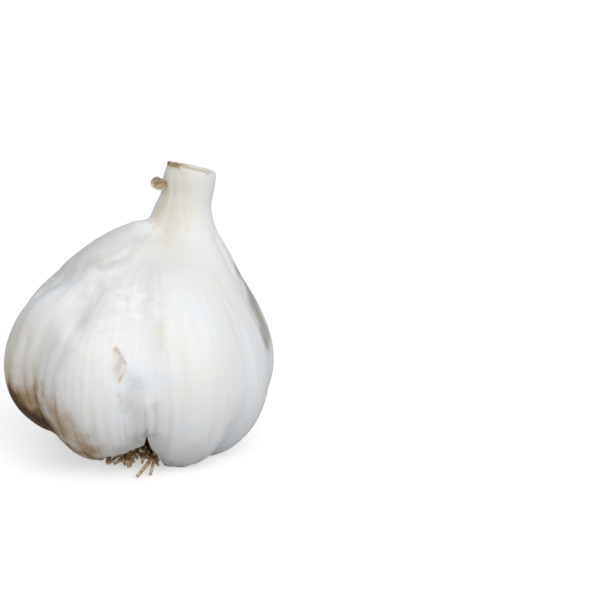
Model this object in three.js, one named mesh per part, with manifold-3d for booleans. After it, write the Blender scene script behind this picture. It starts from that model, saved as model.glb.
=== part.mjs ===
// A whole dried garlic bulb, in millimetres, +Z up, with its face towards -Y.
//
// The bulb is a ring of fat cloves under one papery skin. The skin is stretched over the cloves,
// tucked in between them at the foot, and drawn together above them into a dry neck, which was
// cut off at a slant. So the skin is worked out in the same way: each clove is a row of round
// beads along a bent line, the neck is a leaning funnel, and the skin is the smooth surface that
// hugs them all. Its points are found by walking in from outside along a fan of lines.
import * as THREE from 'three';
import { mergeVertices } from 'three/addons/utils/BufferGeometryUtils.js';
import Module from 'manifold-3d';

const wasm = await Module();
wasm.setup();

// ---- driving dimensions -------------------------------------------------------------------

// The cloves, round the bulb from +X towards +Y. turn: direction of the foot in degrees; twist:
// how far round from there the tip is; reach: how far out its belly stands; foot: height of its
// lowest point; tip: height of its point; girth: how fat it is; shoulder: how far out its upper
// half leans, as a share of reach.
const CLOVES = [
  { turn: 20, twist: 5, reach: 30.3, foot: 0.0, tip: 41, girth: 1.04, shoulder: 0.5 },
  { turn: 67, twist: 0, reach: 28.5, foot: 0.0, tip: 46, girth: 1.0, shoulder: 0.6 },
  { turn: 110, twist: 0, reach: 28.5, foot: 0.0, tip: 46, girth: 1.0, shoulder: 0.6 },
  { turn: 146, twist: 10, reach: 25.0, foot: 0.0, tip: 43, girth: 0.92, shoulder: 0.58 },
  { turn: 173, twist: 62, reach: 24.0, foot: 0.0, tip: 48.3, girth: 0.85, shoulder: 0.54 },
  { turn: 205, twist: 21, reach: 30.1, foot: 5.9, tip: 40.6, girth: 1.01, shoulder: 0.27 },
  { turn: 250, twist: 20, reach: 28.9, foot: 2.8, tip: 37.5, girth: 1.05, shoulder: 0.58 },
  { turn: 309, twist: 7, reach: 28.7, foot: 0.0, tip: 41.3, girth: 1.06, shoulder: 0.6 },
  { turn: 337, twist: -8, reach: 29.0, foot: 0.2, tip: 39.8, girth: 1.04, shoulder: 0.53 },
];
const BEADS_PER_CLOVE = 13;
const HEART = [{ z: 11, r: 6.5 }, { z: 20, r: 12 }]; // the flesh between the cloves' feet

// The funnel of skin from the cloves up to the cut: [height, radius].
const FUNNEL = [
  [10, -6], [20, 12], [30, 20.4], [35, 18.4], [43, 13.5], [50, 7.35], [54, 6.1], [57, 5.7],
  [60, 5.7], [63, 5.2], [70, 5],
];
// How the neck leans to +X on its way up: [height, x].
const LEAN = [[24, 0], [30, 2], [35, 5.1], [43, 7.5], [50, 10.4], [54, 11], [57, 12], [63, 12.9], [70, 14.2]];
// How much flatter than wide the neck is: [height, width over depth].
const FLATNESS = [[48, 1.15], [58, 1.36]];

// Where the skin is drawn in between two cloves at the foot.
const TUCKS = [
  { turn: 1, depth: 1.2 }, { turn: 43, depth: 1.2 }, { turn: 88, depth: 1.5 },
  { turn: 128, depth: 1.4 }, { turn: 160, depth: 1.0 }, { turn: 190, depth: 1.0 },
  { turn: 231, depth: 1.2 }, { turn: 281, depth: 1.2 }, { turn: 322, depth: 1.2 },
];
const TUCK_WIDTH = 3;
const TUCK_TOP = 20; // the tucks have run out at this height

// Where the skin sinks in along a line, or stands off the cloves where depth is below zero.
const FOLDS = [
  { // the crease under the clove that leans over at the back left
    depth: 1.2,
    width: 2.4,
    line: [
      [2.6, -8.6, 48.6], [0.6, -11.6, 45.4], [-2.2, -12.9, 43.8], [-5.3, -12.9, 43.3],
      [-8.8, -11.9, 42.9], [-12.4, -10.5, 41.7], [-16, -9.4, 39.5], [-19.4, -7.4, 37.3],
    ],
  },
  { // the long dimple beside the bulge at the front left
    depth: 0.9,
    width: 3.4,
    line: [[-7.2, -15.8, 39.1], [-8.3, -19.1, 36.7], [-8.6, -22, 34.7]],
  },
  { // the skin stretched straight over the gap between the two front cloves
    depth: -1.3,
    width: 4,
    line: [
      [4.6, -25.5, 13], [5.4, -26.8, 18.5], [6.5, -25.9, 24.7], [7.1, -23.8, 30.4],
      [7.3, -20.3, 35.9], [7.2, -15.3, 41.1],
    ],
  },
  { depth: -0.9, width: 5, line: [[-15.5, -17.7, 34.4], [-17, -15.5, 33]] },
  { depth: -0.8, width: 4, line: [[-3.5, -15.5, 41], [1, -15.5, 42]] },
];

const SKIN_BLEND = 1.1; // how softly the skin bridges from clove to clove
const NECK_BLEND = 1.2; // and from the cloves to the neck

const NECK_TOP = 62.3; // height of the cut on the neck's own line
const CUT_SLOPE = -0.24; // the cut falls towards +X
const NECK_WALL = 1.1; // the bundle of outer skins round the cut end
const POCKET_DEPTH = 5.0;
const GAP = 0.3; // between two pieces that touch on the bulb

const PLATE_RADIUS = 6.4; // the corky disc that the roots grow from
const PLATE_TOP = 6.2;
const PLATE_THICKNESS = 2.4;
const SEAT_RADIUS = 9.3; // the hollow in the foot that holds it
// In front the skin is broken away over the roots, with a slit running up from there between two
// cloves. These are their outlines as seen from the front, [x, z], and where they start, y.
const BREAK_EDGE = [
  [7.2, -1], [7, 2], [6.2, 3.6], [5.4, 5.0], [4.6, 6.6], [3.6, 6.7], [2, 6.2], [0.7, 6.2],
  [-1.1, 5.2], [-2.7, 4.9], [-4.3, 5.0], [-5.8, 4.4], [-5.9, -1],
];
const BREAK_START = -5.8;
const SLIT_EDGE = [[3.75, 6], [4.85, 6], [4.7, 8.4], [4.5, 10.8], [4.2, 11], [4.0, 8.6]];
const SLIT_START = -18;

const ROOTS_UNDER = 20; // rootlets that curl up under the disc
const ROOTS_IN_FRONT = 20; // and that splay out through the broken skin
const ROOT_RADIUS = 0.56;
// The two longest roots, which reach out in front.
const LONG_ROOTS = [
  [[3, -4.5, 4.3], [4.2, -11, 2.9], [4.4, -18.5, 2.6], [2.1, -23.3, 0.62]],
  [[2.6, -5, 4.3], [4.4, -12, 2.4], [5.2, -18, 2.3], [4.7, -22.1, 0.62]],
];
const ROOT_SEED = 11;
const ROOT_STEPS = 4;

const AROUND = 84; // points round the skin
const UP = 54; // and rings from foot to cut

// The middle of the ring of cloves, placed so that the whole bulb is centred on the origin.
const RING_CENTRE = new THREE.Vector3(-1.288, 0.591, 0);

// ---- small tools --------------------------------------------------------------------------

/** Straight lines between the [s, value] pairs of a table. */
function along(table, s) {
  if (s <= table[0][0]) return table[0][1];
  for (let i = 1; i < table.length; i += 1) {
    const [s0, v0] = table[i - 1];
    const [s1, v1] = table[i];
    if (s <= s1) return v0 + ((v1 - v0) * (s - s0)) / (s1 - s0);
  }
  return table[table.length - 1][1];
}

/** A smooth line through the [s, value] pairs of a table, with no waves between them. */
function smoothAlong(table, s) {
  const last = table.length - 1;
  if (s <= table[0][0]) return table[0][1];
  if (s >= table[last][0]) return table[last][1];
  const rise = (i) => (table[i + 1][1] - table[i][1]) / (table[i + 1][0] - table[i][0]);
  const slope = (i) => {
    if (i === 0 || i === last) return rise(Math.min(i, last - 1));
    const before = rise(i - 1);
    const after = rise(i);
    return before * after > 0 ? (2 * before * after) / (before + after) : 0;
  };
  let i = 0;
  while (s > table[i + 1][0]) i += 1;
  const width = table[i + 1][0] - table[i][0];
  const t = (s - table[i][0]) / width;
  const q = 1 - t;
  return q * q * (1 + 2 * t) * table[i][1] + t * t * (3 - 2 * t) * table[i + 1][1]
    + width * t * q * (q * slope(i) - t * slope(i + 1));
}

/** The value that a cubic Bezier curve with these four values has at s. */
function bezier(a, b, c, d, s) {
  const q = 1 - s;
  return q * q * q * a + 3 * q * q * s * b + 3 * q * s * s * c + s * s * s * d;
}

/** The smaller of some numbers, rounded off where they are close to each other. */
function smoothMin(values, blend) {
  const least = Math.min(...values);
  let sum = 0;
  for (const v of values) sum += Math.exp(-(v - least) / blend);
  return least - blend * Math.log(sum);
}

const clamp01 = (v) => Math.min(1, Math.max(0, v));
const radians = THREE.MathUtils.degToRad;

/** A repeatable stream of numbers from 0 to 1. */
function seeded(seed) {
  let state = seed;
  return () => {
    state = (state * 1664525 + 1013904223) % 4294967296;
    return state / 4294967296;
  };
}

/** A closed body through a stack of rings, with a fan over each end. */
function stackOfRings(rings) {
  const n = rings[0].length;
  const middle = (ring) => ring
    .reduce((sum, p) => sum.add(p), new THREE.Vector3())
    .divideScalar(n);
  const points = [...rings.flat(), middle(rings[0]), middle(rings[rings.length - 1])];
  const first = rings.length * n;
  const last = first + 1;
  const top = (rings.length - 1) * n;
  const index = [];
  for (let j = 0; j < n; j += 1) {
    const k = (j + 1) % n;
    index.push(first, k, j, last, top + j, top + k);
    for (let i = 0; i + 1 < rings.length; i += 1) {
      const a = i * n + j;
      const b = i * n + k;
      index.push(a, b, b + n, a, b + n, a + n);
    }
  }
  const geometry = new THREE.BufferGeometry().setFromPoints(points);
  geometry.setIndex(index);
  return geometry;
}

function toSolid(geometry) {
  geometry.deleteAttribute('normal');
  geometry.deleteAttribute('uv');
  const merged = mergeVertices(geometry, 1e-4);
  return new wasm.Manifold(new wasm.Mesh({
    numProp: 3,
    vertProperties: new Float32Array(merged.attributes.position.array),
    triVerts: new Uint32Array(merged.index.array),
  }));
}

function toGeometry(solid) {
  const mesh = solid.getMesh();
  const geometry = new THREE.BufferGeometry();
  geometry.setAttribute('position', new THREE.BufferAttribute(mesh.vertProperties, 3));
  geometry.setIndex(new THREE.BufferAttribute(mesh.triVerts, 1));
  geometry.computeVertexNormals();
  return geometry;
}

/** Keeps a body's outer shell alone, so that no pinch of air is sealed in where limbs cross. */
function outerShell(geometry) {
  const index = Array.from(geometry.index.array);
  const parent = Array.from({ length: geometry.attributes.position.count }, (_, i) => i);
  const shellOf = (i) => {
    let k = i;
    while (parent[k] !== k) {
      parent[k] = parent[parent[k]];
      k = parent[k];
    }
    return k;
  };
  for (let t = 0; t < index.length; t += 3) {
    parent[shellOf(index[t + 1])] = shellOf(index[t]);
    parent[shellOf(index[t + 2])] = shellOf(index[t]);
  }
  const sizes = new Map();
  for (const i of index) sizes.set(shellOf(i), (sizes.get(shellOf(i)) ?? 0) + 1);
  const [outer] = [...sizes.entries()].sort((a, b) => b[1] - a[1])[0];
  geometry.setIndex(index.filter((i) => shellOf(i) === outer));
  return geometry;
}

// ---- the skin -----------------------------------------------------------------------------

/** Every clove as a row of beads: fat in the belly, tapering to a point beside the neck. */
function beadsOfCloves() {
  const beads = HEART.map(({ z, r }) => ({ x: 0, y: 0, z, r }));
  for (const { turn, twist, reach, foot, tip, girth, shoulder } of CLOVES) {
    for (let i = 0; i < BEADS_PER_CLOVE; i += 1) {
      const s = i / (BEADS_PER_CLOVE - 1);
      const a = radians(turn + twist * s * s);
      const out = bezier(12, 0.78 * reach, shoulder * reach, 6, s);
      const z = bezier(foot + 8 * girth, foot + 14, tip - 12, tip, s);
      const r = bezier(8 * girth, 15 * girth, 14 * girth, 3, s);
      const lean = 0.55 * smoothAlong(LEAN, z);
      beads.push({ x: Math.cos(a) * out + lean, y: Math.sin(a) * out, z, r });
    }
  }
  return beads;
}

const BEADS = beadsOfCloves();

/** How deep the skin is drawn in at a point, by the tucks between the cloves. */
function tuckDepth(p) {
  const low = clamp01((TUCK_TOP - p.z) / TUCK_TOP);
  const fade = low * low * (3 - 2 * low);
  let depth = 0;
  for (const tuck of TUCKS) {
    const a = radians(tuck.turn);
    const out = p.x * Math.cos(a) + p.y * Math.sin(a);
    const across = p.y * Math.cos(a) - p.x * Math.sin(a);
    depth += tuck.depth * fade * Math.exp(-((across / TUCK_WIDTH) ** 2)) * clamp01((out - 6) / 8);
  }
  return depth;
}

const foldLines = FOLDS.map(({ depth, width, line }) => ({
  depth,
  width,
  parts: line.slice(1).map((end, i) => new THREE.Line3(
    new THREE.Vector3(...line[i]),
    new THREE.Vector3(...end),
  )),
}));

/** How deep the skin sinks in at a point, by the folds. */
function foldDepth(p) {
  const foot = new THREE.Vector3();
  let total = 0;
  for (const { depth, width, parts } of foldLines) {
    const nearest = Math.min(...parts.map(
      (part) => part.closestPointToPoint(p, true, foot).distanceToSquared(p),
    ));
    total += depth * Math.exp(-nearest / (width * width));
  }
  return total;
}

/** About how far a point is from the skin: below zero inside it. */
function skinDistance(p) {
  const toBeads = BEADS.map((b) => Math.hypot(p.x - b.x, p.y - b.y, p.z - b.z) - b.r);
  const toCloves = smoothMin(toBeads, SKIN_BLEND) + tuckDepth(p);
  const fromAxis = Math.hypot(p.x - smoothAlong(LEAN, p.z), p.y * along(FLATNESS, p.z));
  const toFunnel = 0.72 * (fromAxis - smoothAlong(FUNNEL, p.z));
  return smoothMin([toCloves, toFunnel], NECK_BLEND) + foldDepth(p);
}

// The fan of lines that the skin's points lie on: from straight down, through the belly and the
// shoulder, to level across the neck. [share of the way up, value].
const FAN_PITCH = [[0, -86], [0.5, 12], [0.62, 32], [0.72, 45], [0.8, 45], [0.88, 30], [1, 0]];
const FAN_START = [[0, 24], [0.5, 24], [0.62, 26], [0.72, 31], [0.8, 40], [0.88, 50], [1, NECK_TOP]];
const FAN_SLOPE = [[0.85, 0], [1, CUT_SLOPE]];

/** One ring of the skin, share of the way up from foot to cut. */
function skinRing(share) {
  const pitch = radians(along(FAN_PITCH, share));
  const startZ = along(FAN_START, share);
  const start = new THREE.Vector3(smoothAlong(LEAN, startZ), 0, startZ);
  const ring = [];
  for (let j = 0; j < AROUND; j += 1) {
    const a = (2 * Math.PI * j) / AROUND;
    const line = new THREE.Vector3(
      Math.cos(a) * Math.cos(pitch),
      Math.sin(a) * Math.cos(pitch),
      Math.sin(pitch) + along(FAN_SLOPE, share) * Math.cos(a),
    ).normalize();
    const p = start.clone();
    for (let step = 0; step < 45; step += 1) {
      p.addScaledVector(line, -skinDistance(p));
    }
    p.z = Math.max(p.z, 0); // the bulb stands on small flats
    ring.push(p);
  }
  return ring;
}

const skinRings = Array.from({ length: UP }, (_, i) => skinRing(i / (UP - 1)));

// ---- the cut end of the neck --------------------------------------------------------------

const cutRing = skinRings[UP - 1];
const cutMiddle = new THREE.Vector3(smoothAlong(LEAN, NECK_TOP), 0, NECK_TOP);
const neckDown = new THREE.Vector3(smoothAlong(LEAN, NECK_TOP - 5) - cutMiddle.x, 0, -5).normalize();

/** The outline of the cut, drawn in by inset and moved down the neck. */
function neckRing(inset, down) {
  return cutRing.filter((_, j) => j % 2 === 0).map((p) => {
    const spoke = p.clone().sub(cutMiddle);
    spoke.setLength(Math.max(spoke.length() - inset, 0.2));
    return spoke.add(cutMiddle).addScaledVector(neckDown, down);
  });
}

const pocket = stackOfRings([neckRing(NECK_WALL, POCKET_DEPTH), neckRing(NECK_WALL, -3)]);

// The dried inner sheaths and stalk, nested in each other: [inset, depth below the cut].
const CORE_STEPS = [
  [0, POCKET_DEPTH - GAP], [0, 0.5], [0.75, 0.35], [0.85, 1.1], [1.1, 1.1], [1.2, 0.7],
  [1.95, 0.6], [2.05, 1.3], [2.3, 1.3], [2.4, 0.8],
];
const core = stackOfRings(
  CORE_STEPS.map(([inset, down]) => neckRing(NECK_WALL + GAP + inset, down)),
);

// ---- the foot -----------------------------------------------------------------------------

/** A closed turned body from [radius, height] pairs that start and end on the axis. */
function turned(profile, sides) {
  const outline = profile.map(([r, z]) => new THREE.Vector2(r, z));
  return new THREE.LatheGeometry(outline, sides).rotateX(Math.PI / 2);
}

/** One ring of the hollow that the roots sit in: its edge is where the skin has frayed away. */
function seatRing(radius, z) {
  const ring = [];
  for (let j = 0; j < 46; j += 1) {
    const a = (2 * Math.PI * (j + 0.4)) / 46;
    const r = radius * (1 + 0.06 * Math.sin(3 * a + 1) + 0.03 * Math.sin(7 * a));
    ring.push(new THREE.Vector3(r * Math.cos(a), r * Math.sin(a), z));
  }
  return ring;
}

const seat = stackOfRings([
  seatRing(SEAT_RADIUS, -1), seatRing(SEAT_RADIUS, 1.5), seatRing(SEAT_RADIUS - 0.6, 4),
  seatRing(PLATE_RADIUS + 0.9, PLATE_TOP - 0.8), seatRing(PLATE_RADIUS, PLATE_TOP + GAP),
]);

/** The room behind an outline that is seen from the front: from y = start on outwards. */
function roomBehind(outline, start) {
  const shape = new THREE.Shape(outline.map(([x, z]) => new THREE.Vector2(x, z)));
  return new THREE.ExtrudeGeometry(shape, { depth: 30, bevelEnabled: false })
    .rotateX(Math.PI / 2)
    .translate(0, start, 0);
}

const PLATE_FOOT = PLATE_TOP - PLATE_THICKNESS;
const plate = turned([
  [0, PLATE_FOOT], [PLATE_RADIUS * 0.7, PLATE_FOOT], [PLATE_RADIUS, PLATE_FOOT + 0.8],
  [PLATE_RADIUS, PLATE_TOP - 0.9], [PLATE_RADIUS - 1, PLATE_TOP], [0, PLATE_TOP],
], 28);

/** A rootlet through the given points, thinner towards its cut tip. */
function rootlet(points, radius) {
  const curve = new THREE.CatmullRomCurve3(points);
  const rings = [];
  for (let i = 0; i <= ROOT_STEPS; i += 1) {
    const share = i / ROOT_STEPS;
    const centre = curve.getPoint(share);
    const ahead = curve.getTangent(share);
    const side = new THREE.Vector3(-ahead.y, ahead.x, 0).normalize();
    const up = ahead.clone().cross(side);
    const r = radius * (1 - 0.35 * share);
    const ring = [];
    for (let k = 0; k < 5; k += 1) {
      const a = (2 * Math.PI * k) / 5;
      ring.push(centre.clone()
        .addScaledVector(side, r * Math.cos(a))
        .addScaledVector(up, r * Math.sin(a)));
    }
    rings.push(ring);
  }
  return stackOfRings(rings);
}

/** The corky disc with its roots: most curl up under it, some splay out through the break. */
function rootGeometry() {
  const random = seeded(ROOT_SEED);
  const spread = (least, most) => least + (most - least) * random();
  let tuft = toSolid(plate);
  for (const path of LONG_ROOTS) {
    const points = path.map((p) => new THREE.Vector3(...p));
    tuft = tuft.add(toSolid(rootlet(points, ROOT_RADIUS * 1.05)));
  }
  for (let i = 0; i < ROOTS_UNDER + ROOTS_IN_FRONT; i += 1) {
    const splays = i >= ROOTS_UNDER;
    const turn = splays ? radians(spread(244, 292)) : i * 2.4 + spread(-0.2, 0.2);
    const start = splays ? spread(3.5, 5.5) : PLATE_RADIUS * Math.sqrt((i + 0.5) / ROOTS_UNDER) * 0.9;
    const end = splays ? spread(12.5, 19.5) : Math.min(start + spread(1.5, 3), 7.6);
    const sideways = spread(-1.2, 1.2);
    const tipHeight = ROOT_RADIUS + (splays ? spread(0.1, 1.9) : spread(0.1, 0.8));
    const place = (out, aside, z) => new THREE.Vector3(
      Math.cos(turn) * out - Math.sin(turn) * aside,
      Math.sin(turn) * out + Math.cos(turn) * aside,
      z,
    );
    const path = [
      place(start, 0, PLATE_FOOT + 0.9),
      place(start + 0.8, sideways * 0.3, PLATE_FOOT - 0.8),
      place((start + end) / 2, sideways, splays ? spread(1.2, 2.9) : spread(1.3, 1.9)),
      place(end, -sideways * 0.6, tipHeight),
    ];
    if (splays) {
      // It stays between the two sides of the break.
      for (const p of path) p.x = THREE.MathUtils.clamp(p.x, -4.7, 5.7);
    }
    tuft = tuft.add(toSolid(rootlet(path, ROOT_RADIUS * spread(0.8, 1.1))));
  }
  return outerShell(toGeometry(tuft));
}

// ---- the shred of old leaf on the neck ----------------------------------------------------

const SHRED_ROOT = new THREE.Vector3(7.15, -2.8, 58.9);
const SHRED_TIP = new THREE.Vector3(4.4, -2.6, 59.6);
const SHRED_THICKNESS = 0.5;
const SHRED_CUP = 0.9; // how far its upper and lower edges curl forward
// Half its height from where it is torn off the neck to its tip: [share of its length, mm].
const SHRED_HEIGHT = [[0, 0.75], [0.25, 1.2], [0.55, 1.45], [0.8, 1.2], [0.94, 0.75], [1, 0.3]];

/** A little ear of leaf: a cupped flap that stands out from the neck, its hollow to the front. */
function shredGeometry() {
  const steps = 12;
  const half = 4; // points from its middle line to an edge
  const rings = [];
  for (let i = 0; i <= steps; i += 1) {
    const share = i / steps;
    const middle = SHRED_ROOT.clone().lerp(SHRED_TIP, share);
    const height = smoothAlong(SHRED_HEIGHT, share);
    const front = [];
    for (let k = -half; k <= half; k += 1) {
      const t = k / half;
      const p = new THREE.Vector3(0, -SHRED_CUP * t * t * (0.4 + 0.6 * share), height * t);
      front.push(p.add(middle));
    }
    const back = front.map((p) => p.clone().setY(p.y + SHRED_THICKNESS)).reverse();
    rings.push([...front, ...back]);
  }
  return stackOfRings(rings);
}

// ---- the bulb -----------------------------------------------------------------------------

const bulb = new THREE.Group();
bulb.position.copy(RING_CENTRE);

function addPiece(name, geometry, color, roughness) {
  const material = new THREE.MeshStandardMaterial({ color, roughness, metalness: 0 });
  const mesh = new THREE.Mesh(geometry, material);
  mesh.name = name;
  bulb.add(mesh);
}

const skin = toSolid(stackOfRings(skinRings))
  .subtract(toSolid(pocket))
  .subtract(toSolid(seat))
  .subtract(toSolid(roomBehind(BREAK_EDGE, BREAK_START)))
  .subtract(toSolid(roomBehind(SLIT_EDGE, SLIT_START)));

addPiece('wrapped_bulb', toGeometry(skin), '#e9e7e4', 0.5);
addPiece('neck_core', toGeometry(toSolid(core)), '#a98a63', 0.85);
addPiece('dry_scrap', toGeometry(toSolid(shredGeometry())), '#b09c78', 0.8);
addPiece('root_tuft', rootGeometry(), '#7a6248', 0.9);

const model = new THREE.Group();
model.add(bulb);

export default model;
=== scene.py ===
# %% [markdown]
# # A whole garlic bulb
# The real thing is a ring of fat cloves under a few papery skins. The skins are drawn together
# above the cloves into a dry neck, and under the bulb sits a corky disc with trimmed roots.
# We load the solid model first: it holds the sizes, and every piece made here stays in its box.

# %% Load the frame
import math

import bpy
import numpy as np
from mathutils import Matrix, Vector


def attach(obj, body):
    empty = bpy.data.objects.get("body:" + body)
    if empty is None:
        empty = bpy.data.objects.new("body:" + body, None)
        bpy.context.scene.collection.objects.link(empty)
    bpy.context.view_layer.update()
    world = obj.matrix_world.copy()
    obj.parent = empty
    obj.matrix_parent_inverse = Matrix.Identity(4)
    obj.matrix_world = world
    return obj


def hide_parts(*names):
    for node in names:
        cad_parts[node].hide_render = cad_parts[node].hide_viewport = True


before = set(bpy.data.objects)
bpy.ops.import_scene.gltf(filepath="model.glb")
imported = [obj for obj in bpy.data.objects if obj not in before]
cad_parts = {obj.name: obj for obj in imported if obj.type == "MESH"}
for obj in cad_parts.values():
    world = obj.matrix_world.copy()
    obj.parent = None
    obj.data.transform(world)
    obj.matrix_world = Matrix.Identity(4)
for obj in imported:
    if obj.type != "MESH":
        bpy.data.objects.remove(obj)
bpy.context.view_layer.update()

MM = 0.001


# %% Put an object in the scene
def new_object(name, data):
    """An object needs a name, its data (a mesh, a lamp, a camera) and a place in a collection."""
    thing = bpy.data.objects.new(name, data)
    bpy.context.collection.objects.link(thing)
    return thing


# %% [markdown]
# ## Camera, floor and light
# A long lens from a little above flattens the bulb as a product picture does. The camera aims
# beside the bulb, so that it stands left of the middle. One big soft key light comes from the
# front right and above: it models the cloves, and a wide one has no hard edge to burn out the
# silky skin. Everything else is a weak fill, so the bulb's underside falls into shade.

# %% Camera
LENS = 100
SENSOR = 36
CAMERA_PITCH = math.radians(14)
CAMERA_DISTANCE = 373.2 * MM
AIM = Vector((34.99, 8.34, 31.07)) * MM

camera_data = bpy.data.cameras.new("camera")
camera_data.lens = LENS
camera_data.sensor_width = SENSOR
camera_data.clip_start = 0.01
camera = new_object("camera", camera_data)
camera.location = AIM + CAMERA_DISTANCE * Vector(
    (0, -math.cos(CAMERA_PITCH), math.sin(CAMERA_PITCH)))
camera.rotation_euler = (math.radians(90) - CAMERA_PITCH, 0, 0)
bpy.context.scene.camera = camera
print("camera:", LENS, "mm lens,", round(CAMERA_DISTANCE / MM), "mm from its aim")

# %% Floor
FLOOR_SIZE = 12.0
half = FLOOR_SIZE / 2
floor_mesh = bpy.data.meshes.new("floor")
floor_mesh.from_pydata([(-half, -half, 0), (half, -half, 0), (half, half, 0), (-half, half, 0)],
                       [], [(0, 1, 2, 3)])
floor = new_object("floor", floor_mesh)
print("floor:", FLOOR_SIZE, "m across")

# %% Lights
LAMP_DISTANCE = 0.6  # only where the lamps are drawn: a sun lights the same from anywhere


def soft_light(name, comes_from, share, spread, colour=(1, 1, 1)):
    """A far, wide light. Its share is the brightness it gives to a white face turned to it."""
    data = bpy.data.lights.new(name, "SUN")
    data.energy = share * math.pi
    data.angle = math.radians(spread)
    data.color = colour
    light = new_object(name, data)
    light.rotation_euler = Vector(comes_from).to_track_quat("Z", "Y").to_euler()
    light.location = Vector(comes_from).normalized() * LAMP_DISTANCE


soft_light("key", (0.42, -0.72, 0.56), 0.60, 50, (1.0, 0.995, 0.985))
soft_light("top", (-0.10, 0.15, 1.0), 0.10, 80, (0.96, 0.98, 1.0))
soft_light("left", (-0.80, -0.50, 0.33), 0.10, 60, (1.0, 0.985, 0.96))
print("lights:", [light.name for light in bpy.data.lights])

# %% The room's own light
STUDIO_COLOUR = (0.93, 0.965, 1.0)
STUDIO_GLOW = 0.455
world = bpy.data.worlds.new("studio")
world.use_nodes = True
backdrop = world.node_tree.nodes["Background"].inputs
backdrop["Color"].default_value = (*STUDIO_COLOUR, 1)
backdrop["Strength"].default_value = STUDIO_GLOW
bpy.context.scene.world = world
bpy.context.scene.view_settings.view_transform = "Standard"
print("room light:", STUDIO_GLOW)

# %% [markdown]
# ## The form under the skin
# A clove is a row of beads along a bent line: fat in the belly, tapering to a point beside the
# neck. The skin is stretched over nine of them. A rounded minimum of the distances to all the
# beads gives just that: it bridges the gaps as a stretched skin does. The neck is a leaning
# funnel, blended in the same way, and a few folds sink into the skin or stand off it. These are
# the numbers that the solid model is built from, so the fine skin lies on it. They are all in
# millimetres, from the middle of the ring of cloves.

# %% The cloves
CLOVES = [  # turn of the foot and twist up to the tip in degrees, reach, foot, tip, girth, shoulder
    (20, 5, 30.3, 0.0, 41, 1.04, 0.5),
    (67, 0, 28.5, 0.0, 46, 1.0, 0.6),
    (110, 0, 28.5, 0.0, 46, 1.0, 0.6),
    (146, 10, 25.0, 0.0, 43, 0.92, 0.58),
    (173, 62, 24.0, 0.0, 48.3, 0.85, 0.54),
    (205, 21, 30.1, 5.9, 40.6, 1.01, 0.27),
    (250, 20, 28.9, 2.8, 37.5, 1.05, 0.58),
    (309, 7, 28.7, 0.0, 41.3, 1.06, 0.6),
    (337, -8, 29.0, 0.2, 39.8, 1.04, 0.53),
]
BEADS_PER_CLOVE = 13
HEART = [(11, 6.5), (20, 12)]  # flesh between the cloves' feet: height, radius
CLOVE_LEAN = 0.55  # the share of the neck's lean that the cloves take
print(len(CLOVES), "cloves")

# %% The neck
FUNNEL = [  # height, radius
    (10, -6), (20, 12), (30, 20.4), (35, 18.4), (43, 13.5), (50, 7.35), (54, 6.1), (57, 5.7),
    (60, 5.7), (63, 5.2), (70, 5),
]
LEAN = [  # height, x of the neck's line
    (24, 0), (30, 2), (35, 5.1), (43, 7.5), (50, 10.4), (54, 11), (57, 12), (63, 12.9), (70, 14.2),
]
FLATNESS = [(48, 1.15), (58, 1.36)]  # height, width over depth
FUNNEL_SLOPE = 0.72  # brings distances measured level down to those across its sloping wall
NECK_TOP = 62.3
CUT_SLOPE = -0.24  # the cut falls towards the right
print("the neck is cut", NECK_TOP, "mm up")

# %% The tucks and the folds
TUCKS = [  # turn, depth
    (1, 1.2), (43, 1.2), (88, 1.5), (128, 1.4), (160, 1.0), (190, 1.0), (231, 1.2), (281, 1.2),
    (322, 1.2),
]
TUCK_WIDTH = 3
TUCK_TOP = 20
TUCK_START = 6  # how far out a tuck begins
TUCK_RUN = 8  # and over what length it deepens
FOLDS = [  # depth (below zero where the skin stands off the cloves), width, line
    (1.2, 2.4, [(2.6, -8.6, 48.6), (0.6, -11.6, 45.4), (-2.2, -12.9, 43.8), (-5.3, -12.9, 43.3),
                (-8.8, -11.9, 42.9), (-12.4, -10.5, 41.7), (-16, -9.4, 39.5),
                (-19.4, -7.4, 37.3)]),
    (0.9, 3.4, [(-7.2, -15.8, 39.1), (-8.3, -19.1, 36.7), (-8.6, -22, 34.7)]),
    (-1.3, 4.0, [(4.6, -25.5, 13), (5.4, -26.8, 18.5), (6.5, -25.9, 24.7), (7.1, -23.8, 30.4),
                 (7.3, -20.3, 35.9), (7.2, -15.3, 41.1)]),
    (-0.9, 5.0, [(-15.5, -17.7, 34.4), (-17, -15.5, 33)]),
    (-0.8, 4.0, [(-3.5, -15.5, 41), (1, -15.5, 42)]),
]
SKIN_BLEND = 1.1  # how softly the skin bridges from clove to clove
NECK_BLEND = 1.2  # and from the cloves to the neck
RING_CENTRE = np.array([-1.288, 0.591, 0.0])  # brings the middle of the outline to the origin
print(len(TUCKS), "tucks and", len(FOLDS), "folds")


# %% Curves through a few points
def along(table, s):
    """Straight lines between the pairs of a table."""
    return np.interp(s, [a for a, _ in table], [b for _, b in table])


def smooth_along(table, s):
    """A smooth line through the pairs of a table, with no waves between them."""
    x, y = np.array(table, float).T
    rise = np.diff(y) / np.diff(x)
    slope = np.concatenate([rise[:1], np.zeros(len(x) - 2), rise[-1:]])
    before, after = rise[:-1], rise[1:]
    same_way = before * after > 0
    slope[1:-1][same_way] = (2 * before * after)[same_way] / (before + after)[same_way]
    s = np.clip(s, x[0], x[-1])
    i = np.clip(np.searchsorted(x, s, side="right") - 1, 0, len(x) - 2)
    width = x[i + 1] - x[i]
    t = (s - x[i]) / width
    q = 1 - t
    return (q * q * (1 + 2 * t) * y[i] + t * t * (3 - 2 * t) * y[i + 1]
            + width * t * q * (q * slope[i] - t * slope[i + 1]))


def bezier(a, b, c, d, s):
    """From a to d, drawn towards b and then c on the way."""
    q = 1 - s
    return q**3 * a + 3 * q * q * s * b + 3 * q * s * s * c + s**3 * d


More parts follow.
